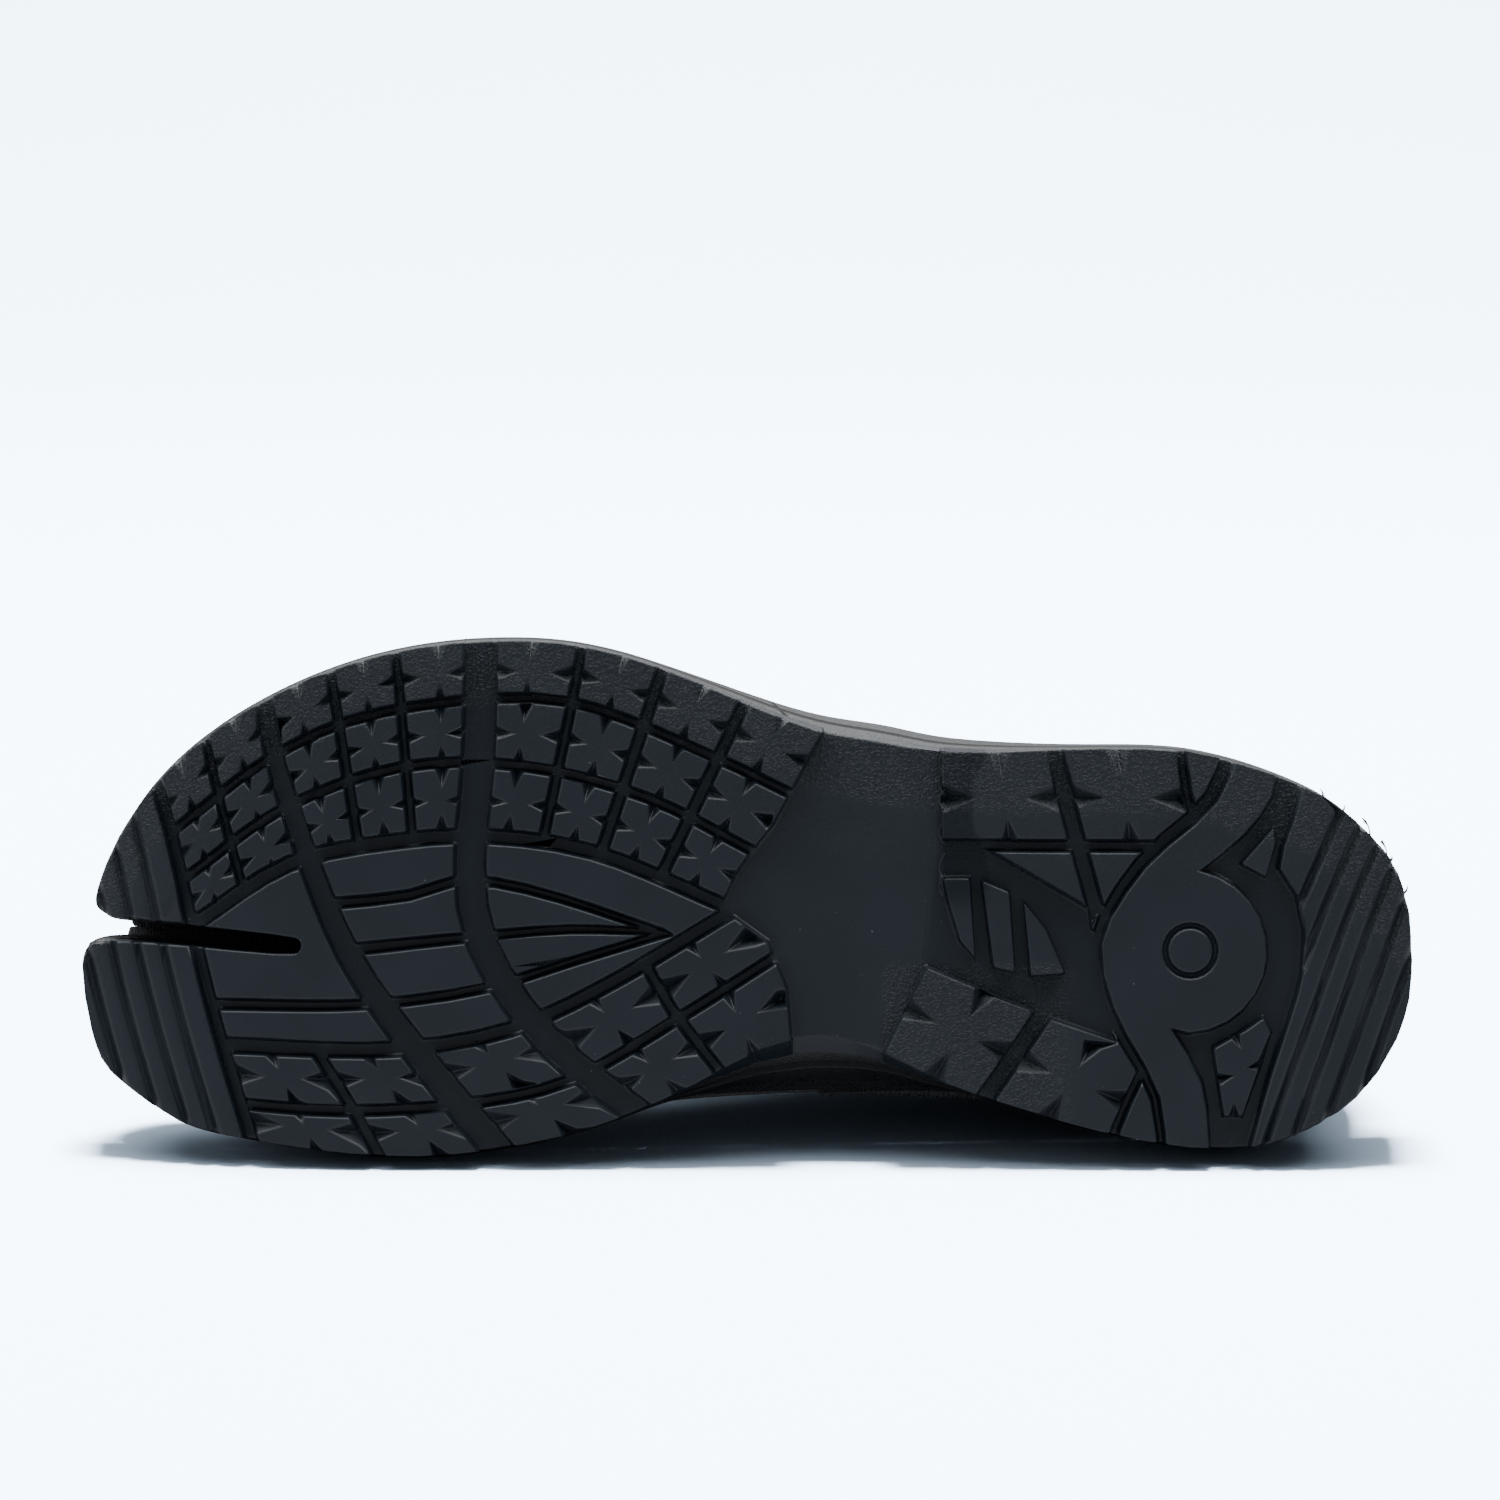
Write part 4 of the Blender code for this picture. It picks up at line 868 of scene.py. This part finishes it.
def make_knit():
    material, wire, shader, shoe = finish("knit")
    u, v, w = axes(wire, shoe)
    on_side = loops(wire, u, w)
    on_top = loops(wire, u, v)
    on_tip = loops(wire, v, w)
    height = blend(facing(wire, up).step(*TOP_FACING), on_side, on_top)
    height = blend(facing(wire, along).step(*TIP_FACING), height, on_tip)
    cloud = noise(wire, shoe, scale=0.06, detail=3.0)
    fuzz = noise(wire, shoe, scale=4.0, detail=2.0)
    # Painted shade: the colour is darker where the loops are low, plus a random cloud of tone
    lightness = height * LOOP_SHADE_SHARE + cloud.step(*CLOUD_RISE) * CLOUD_TINT_SHARE
    feed(mix(wire, lightness, *KNIT_TINTS), shader, "Base Color")
    feed(KNIT_ROUGHNESS + fuzz * YARN_ROUGHNESS, shader, "Roughness")
    feed(bump_of(wire, height * LOOP_DEPTH + fuzz * YARN_DEPTH), shader, "Normal")
    set_sockets(shader, {"Specular IOR Level": 0.25, "Sheen Weight": 0.12, "Sheen Roughness": 0.5})
    return material


knit = make_knit()
print("knit", len(knit.node_tree.nodes), "nodes")

# %% [markdown]
# The wall of the upper is a smooth copy of its solid. It stays sharp at its foot, where it is glued to the
# midsole, and at the seam in front of the quarter. Its edge at the collar is turned in, so it is left to
# round itself.

# %% Upper
KNIT_SHARP = math.radians(30)
QUARTER_SEAM = 155.0
QUARTER_BAND = 2.0
FOOT_TOP = 42.0


def foot_or_seam(first, second):
    """Whether an edge of the upper is at the quarter's seam or runs round its foot."""
    at_seam = max(abs(first[0] - QUARTER_SEAM), abs(second[0] - QUARTER_SEAM)) < QUARTER_BAND
    at_foot = max(first[2], second[2]) < FOOT_TOP
    return at_seam or (at_foot and runs_round(first, second))


upper = rounded("upper", "knit_upper", KNIT_SHARP, foot_or_seam)
print("upper", len(upper.data.polygons), "faces")

# %% [markdown]
# Two toes in one shoe press on each other, so their walls all but touch between the slot's mouth and its
# end. The corners of the two walls that look at each other are moved towards the slot's axis, most at the
# height of the toes' middle.

# %% Toes pressed together
SLOT_MOUTH = (7.3, 3.2)
SLOT_END = (43.4, -0.1)
FOOT_HEIGHT = 16.3
TOE_PRESS = 3.4
MOUTH_PRESS = 2.6
MOUTH_FADE = (11.0, 19.0)
PRESS_START = (3.5, 7.0)
PRESS_END = (42.0, 50.0)
PRESS_FOOT = (0.3, 3.0)
PRESS_TOP = (12.0, 22.0)
PRESS_REACH = 8.0
LEAST_LOOK = 0.15
TOE_TOUCH = 0.05


def smoothstep(value, low, high):
    share = np.clip((value - low) / (high - low), 0, 1)
    return share * share * (3 - 2 * share)


def foot_height(u):
    """Height of the midsole's top at the toes."""
    return FOOT_HEIGHT + TOE_SPRING * np.clip((TOE_SPRING_START - u) / TOE_SPRING_START, 0, None) ** 2


points, normals = shoe_points(upper), shoe_normals(upper)
fall = (SLOT_END[1] - SLOT_MOUTH[1]) / (SLOT_END[0] - SLOT_MOUTH[0])
axis = SLOT_MOUTH[1] + (points[:, 0] - SLOT_MOUTH[0]) * fall
aside = points[:, 1] - axis
rise = points[:, 2] - foot_height(points[:, 0])
looks_in = normals[:, 1] * np.sign(aside) < -LEAST_LOOK
press = TOE_PRESS + MOUTH_PRESS * (1 - smoothstep(points[:, 0], *MOUTH_FADE))
press = press * smoothstep(points[:, 0], *PRESS_START) * (1 - smoothstep(points[:, 0], *PRESS_END))
press = press * smoothstep(rise, *PRESS_FOOT) * (1 - smoothstep(rise, *PRESS_TOP)) * looks_in
nearer = np.maximum(TOE_TOUCH, np.abs(aside) - press)
moves = (press > 0) & (np.abs(aside) < PRESS_REACH) & (nearer < np.abs(aside))
points[moves, 1] = (axis + np.sign(aside) * nearer)[moves]
move_to(upper, points)
print("toes pressed,", int(moves.sum()), "corners moved")

# %% [markdown]
# Knit that has been tried on once has soft troughs where the toes bend and below the front of the collar.
# Each is a line in the shoe's own sizes, on top seen from above and on the sides seen from the side, and
# the wall sinks softly along it.

# %% Soft creases
# Start and end of a trough, its depth and its half width
TOP_CREASES = (
    ((83.0, -24.0), (90.0, 40.0), 0.55, 3.6),
    ((95.0, -26.0), (101.0, 44.0), 0.85, 4.4),
    ((109.0, -22.0), (113.0, 36.0), 0.6, 4.0),
)
SIDE_CREASES = (
    ((168.0, 92.0), (190.0, 62.0), 0.9, 5.5),
    ((160.0, 78.0), (178.0, 52.0), 0.6, 5.0),
)
TOP_RISE = (36.0, 52.0)
CREASE_ENDS = (0.04, 0.96)
CREASE_TAPER = 0.6
# The upper's core is a line inside it: where it ends along, and its place across and up
CORE_END = 225.0
CORE = (1.0, 45.0)


def trough(flat, start, end, depth, half):
    """How deep a soft trough is at points of a plane."""
    start, end = np.array(start), np.array(end)
    line = end - start
    share = np.clip((flat - start) @ line / (line @ line), 0, 1)
    gap = np.linalg.norm(flat - start - share[:, None] * line, axis=1)
    taper = np.sin(math.pi * np.clip(share, *CREASE_ENDS)) ** CREASE_TAPER
    return depth * np.exp(-((gap / half) ** 2)) * taper


def is_outside(piece):
    """Which corners of the upper are on its outer wall, whose normals look away from the core."""
    points, normals = shoe_points(piece), shoe_normals(piece)
    core = np.minimum(points[:, :1], CORE_END) * (1, 0, 0) + (0, *CORE)
    return np.einsum("ij,ij->i", points - core, normals) > 0


points, normals = shoe_points(upper), shoe_normals(upper)
sink = np.zeros(len(points))
for crease in TOP_CREASES:
    sink += trough(points[:, :2], *crease) * smoothstep(points[:, 2], *TOP_RISE)
for crease in SIDE_CREASES:
    sink += trough(points[:, [0, 2]], *crease)
hand = np.where(is_outside(upper), -1.0, 1.0)
move_to(upper, points + normals * (sink * hand)[:, None])
print("deepest trough", round(float(sink.max()), 2), "mm")

# %% [markdown]
# The quarter's ribs are about a millimetre wide and show at the edge of the shoe as small teeth, so they
# are real. Edges of the outer wall that run round the quarter are cut into strips, and the wall sinks
# between one rib and the next. Past the heel's start the ribs are counted round its curve.

# %% Ribs of the quarter
RIB = 1.05
RIB_DEPTH = 0.28
RIB_CUTS = 13
RIBS_RISE = (QUARTER_SEAM + 0.4, QUARTER_SEAM + 1.4)
ROUND_SHARE = 0.6
HEEL_START = 252.0
HEEL_MIDDLE = -1.0
HEEL_ROUND = 31.0


def way_round(points):
    """How far round the quarter points lie: along its sides, then on round the heel."""
    beside = np.abs(points[:, 1] - HEEL_MIDDLE)
    turned = np.arctan2(np.clip(points[:, 0] - HEEL_START, 0, None), beside)
    return np.minimum(points[:, 0], HEEL_START) + HEEL_ROUND * turned


points = shoe_points(upper)
place_round = way_round(points)
outer_wall = is_outside(upper) & (points[:, 0] > RIBS_RISE[0])
select_edges()
for edge in upper.data.edges:
    first, second = edge.vertices
    if outer_wall[first] and outer_wall[second]:
        length = np.linalg.norm(points[second] - points[first])
        edge.select = bool(abs(place_round[second] - place_round[first]) > ROUND_SHARE * length)
bpy.ops.object.mode_set(mode="EDIT")
bpy.ops.mesh.subdivide(number_cuts=RIB_CUTS)
bpy.ops.object.mode_set(mode="OBJECT")
points, normals = shoe_points(upper), shoe_normals(upper)
between = 1 - np.abs(np.sin(math.pi * way_round(points) / RIB))
sink = RIB_DEPTH * between * smoothstep(points[:, 0], *RIBS_RISE) * is_outside(upper)
move_to(upper, points - normals * sink[:, None])
bpy.ops.object.shade_smooth()
finished(upper, knit, "upper")

# %% [markdown]
# The quarter is sewn on to the vamp with one row of stitches beside the seam. Rays from outside find the
# wall along the row, and each stitch is a short strand that dips into the knit at both ends.

# %% Stitches
STITCH_ROW = QUARTER_SEAM + 2.2
STITCH = 2.4
STITCH_PITCH = 3.3
STITCH_RADIUS = 0.3
# Points of a stitch: the share of its length, the height above the wall and the share of its radius
STITCH_SHAPE = ((0.0, -0.25, 0.6), (0.2, 0.15, 0.9), (0.5, 0.25, 1.0), (0.8, 0.15, 0.9), (1.0, -0.25, 0.6))
FIRST_STITCH = 1.0
ROW_MIDDLE = (5.0, 60.0)
ROW_TURN = 2.25
ROW_RAYS = 400
RAY_START = 150


def wall_along_row():
    """Points of the outer wall along the row and the direction outwards at each, one row each."""
    walls = []
    outs = []
    for angle in np.linspace(-ROW_TURN, ROW_TURN, ROW_RAYS):
        v = ROW_MIDDLE[0] + RAY_START * math.sin(angle)
        w = ROW_MIDDLE[1] + RAY_START * math.cos(angle)
        far = place(STITCH_ROW, v, w)
        inwards = (place(STITCH_ROW, *ROW_MIDDLE) - far).normalized()
        hit, where, _, _ = upper.ray_cast(far, inwards)
        if hit:
            walls.append(where)
            outs.append(-inwards)
    return np.array(walls), np.array(outs)


def at_spot(spot, run, rows):
    """What rows of three numbers say at a spot between them."""
    return np.array([np.interp(spot, run, column) for column in rows.T])


def stitch(start, run, walls, outs):
    """One strand along the row, from a spot on."""
    line = []
    for share, lift, thick in STITCH_SHAPE:
        spot = start + STITCH * share
        where = at_spot(spot, run, walls) + at_spot(spot, run, outs) * lift * MM
        line.append((where, STITCH_RADIUS * thick))
    return line


bpy.context.view_layer.update()
walls, outs = wall_along_row()
run = np.concatenate([[0.0], np.cumsum(np.linalg.norm(np.diff(walls, axis=0), axis=1))]) / MM
starts = np.arange(FIRST_STITCH, run[-1] - STITCH, STITCH_PITCH)
print("row of", round(float(run[-1])), "mm,", len(starts), "stitches")
stitches = [stitch(start, run, walls, outs) for start in starts]
finished(tubes("quarter_stitches", stitches), knit)

# %% [markdown]
# The insole is a thin foam sheet with a sock of woven cloth on it. Its edge is rounded, and its cloth has a
# fine twill, which is bump and colour because its lines are under a millimetre apart.

# %% Insole
TWILL = 0.8
TWILL_LINES = 0.35
TWILL_THREADS = 0.15
SOCK_TINTS = ((0.012, 0.013, 0.015), (0.034, 0.037, 0.042))
WEAVE_TINT_SHARE = 0.6
SOCK_CLOUD_SHARE = 0.4
SOCK_ROUGHNESS = 0.82
FUZZ_ROUGHNESS = 0.12
WEAVE_DEPTH = 0.12
FUZZ_DEPTH = 0.06
INSOLE_ROUND = 0.8 * MM
INSOLE_SEGMENTS = 3


def make_sock():
    material, wire, shader, shoe = finish("sock cloth")
    u, v, _ = axes(wire, shoe)
    lines = wire.math("SINE", (u + v) * (2 * math.pi / TWILL))
    threads = wire.math("SINE", (u - v) * (math.pi / TWILL))
    weave = lines * TWILL_LINES + threads * TWILL_THREADS + 0.5
    cloud = noise(wire, shoe, scale=0.07, detail=4.0)
    fuzz = noise(wire, shoe, scale=3.0, detail=2.0)
    lightness = weave * WEAVE_TINT_SHARE + cloud * SOCK_CLOUD_SHARE
    feed(mix(wire, lightness, *SOCK_TINTS), shader, "Base Color")
    feed(SOCK_ROUGHNESS + fuzz * FUZZ_ROUGHNESS, shader, "Roughness")
    feed(bump_of(wire, weave * WEAVE_DEPTH + fuzz * FUZZ_DEPTH), shader, "Normal")
    set_sockets(shader, {"Specular IOR Level": 0.2, "Sheen Weight": 0.1})
    return material


sock = make_sock()
insole = copy_of("insole", "sock_liner", join_flat=True)
rim = insole.modifiers.new("edge", "BEVEL")
rim.width = INSOLE_ROUND
rim.segments = INSOLE_SEGMENTS
rim.limit_method = "ANGLE"
rim.angle_limit = SMOOTH_TURN
apply_all(insole)
bpy.ops.object.shade_smooth_by_angle(angle=SMOOTH_TURN)
finished(insole, sock, "insole")

# %% [markdown]
# The camera looks straight at the tread from far away through a long lens, so the sole keeps its true
# outline. Its frame is the photograph's, 316 mm across.

# %% Camera
PHOTO_SIZE = 1500
PIXEL = 0.2107
MIDDLE = (139.8, 41.2)
DISTANCE = 1.2
SENSOR = 36
FARTHEST = 60
lens_data = bpy.data.cameras.new("camera")
camera = bpy.data.objects.new("camera", lens_data)
bpy.context.scene.collection.objects.link(camera)
lens_data.sensor_width = SENSOR
lens_data.lens = SENSOR * DISTANCE / (PHOTO_SIZE * PIXEL * MM)
lens_data.clip_end = FARTHEST
pose = Matrix((along, across, tread_normal)).transposed().to_4x4()
pose.translation = place(*MIDDLE) + tread_normal * DISTANCE
camera.matrix_world = pose
bpy.context.scene.camera = camera
print("camera", short(camera.location, digits=3))

# %% [markdown]
# The studio is a pale sweep of paper, flat under the shoe and curved up far behind it. The camera sees it
# in a pale tint. To the light that bounces it is nearly black, so little light comes back on to the shoe.

# %% Floor
FLOOR_ROWS = 60
FLOOR_FRONT = -7.0
FLOOR_LENGTH = 11.6
FLOOR_WIDTH = 14.0
SWEEP_START = 1.5
SWEEP_RADIUS = 2.0
PAPER_THROWN = (0.033, 0.034, 0.036)
PAPER_SEEN = (0.235, 0.295, 0.37)


def make_paper():
    material = bpy.data.materials.new("pale paper")
    material.use_nodes = True
    shader = material.node_tree.nodes["Principled BSDF"]
    wire = Wire(material.node_tree)
    seen = wire.node("ShaderNodeLightPath", {}, {}, "Is Camera Ray")
    feed(mix(wire, seen, PAPER_THROWN, PAPER_SEEN), shader, "Base Color")
    set_sockets(shader, {"Roughness": 0.9, "Specular IOR Level": 0.0})
    return material


deselect()
bpy.ops.mesh.primitive_grid_add(x_subdivisions=1, y_subdivisions=FLOOR_ROWS, size=1, location=(0, 0, 0))
floor = bpy.context.object
floor.name = "floor"
for corner in floor.data.vertices:
    run = FLOOR_FRONT + (corner.co.y + 0.5) * FLOOR_LENGTH
    bend = max(0.0, run - SWEEP_START) / SWEEP_RADIUS
    corner.co.x *= FLOOR_WIDTH
    corner.co.y = min(run, SWEEP_START) + SWEEP_RADIUS * math.sin(bend)
    corner.co.z = SWEEP_RADIUS * (1 - math.cos(bend))
bpy.ops.object.shade_smooth()
floor.data.materials.append(make_paper())
print("floor", len(floor.data.polygons), "faces")

# %% [markdown]
# One very large softbox hangs above the shoe, most of it behind, so edges that look up are bright, and a
# weak one stands far beyond its toes. The paper has a lamp of its own, which is linked to it alone, so the
# paper is almost white and the shadow under the arch is black, while the shoe stays dark.

# %% Light
SKY = (0.93, 0.97, 1.0, 1)
SKY_STRENGTH = 0.35


def softbox(name, where, target, size, radiance):
    """A rectangular light that glows evenly, aimed at a point and not seen by the camera."""
    data = bpy.data.lights.new(name, "AREA")
    data.shape = "RECTANGLE"
    data.size, data.size_y = size
    data.energy = radiance * size[0] * size[1] * math.pi
    lamp = bpy.data.objects.new(name, data)
    bpy.context.scene.collection.objects.link(lamp)
    lamp.location = where
    lamp.rotation_euler = (Vector(target) - Vector(where)).to_track_quat("-Z", "Y").to_euler()
    lamp.visible_camera = False
    return lamp


world = bpy.data.worlds.new("studio")
bpy.context.scene.world = world
world.use_nodes = True
set_sockets(world.node_tree.nodes["Background"], {"Color": SKY, "Strength": SKY_STRENGTH})
softbox("top", where=(0.0, 1.2, 2.6), target=(0, 1.2, 0), size=(5.0, 5.0), radiance=6.0)
softbox("left", where=(-2.8, -0.5, 1.3), target=(0, 0, 0.06), size=(1.6, 1.6), radiance=2.5)
paper_lamp = softbox("paper", where=(0.0, 0.35, 3.0), target=(0, 0.35, 0), size=(0.9, 0.9), radiance=1150.0)
paper_only = bpy.data.collections.new("paper only")
paper_only.objects.link(floor)
paper_lamp.light_linking.receiver_collection = paper_only
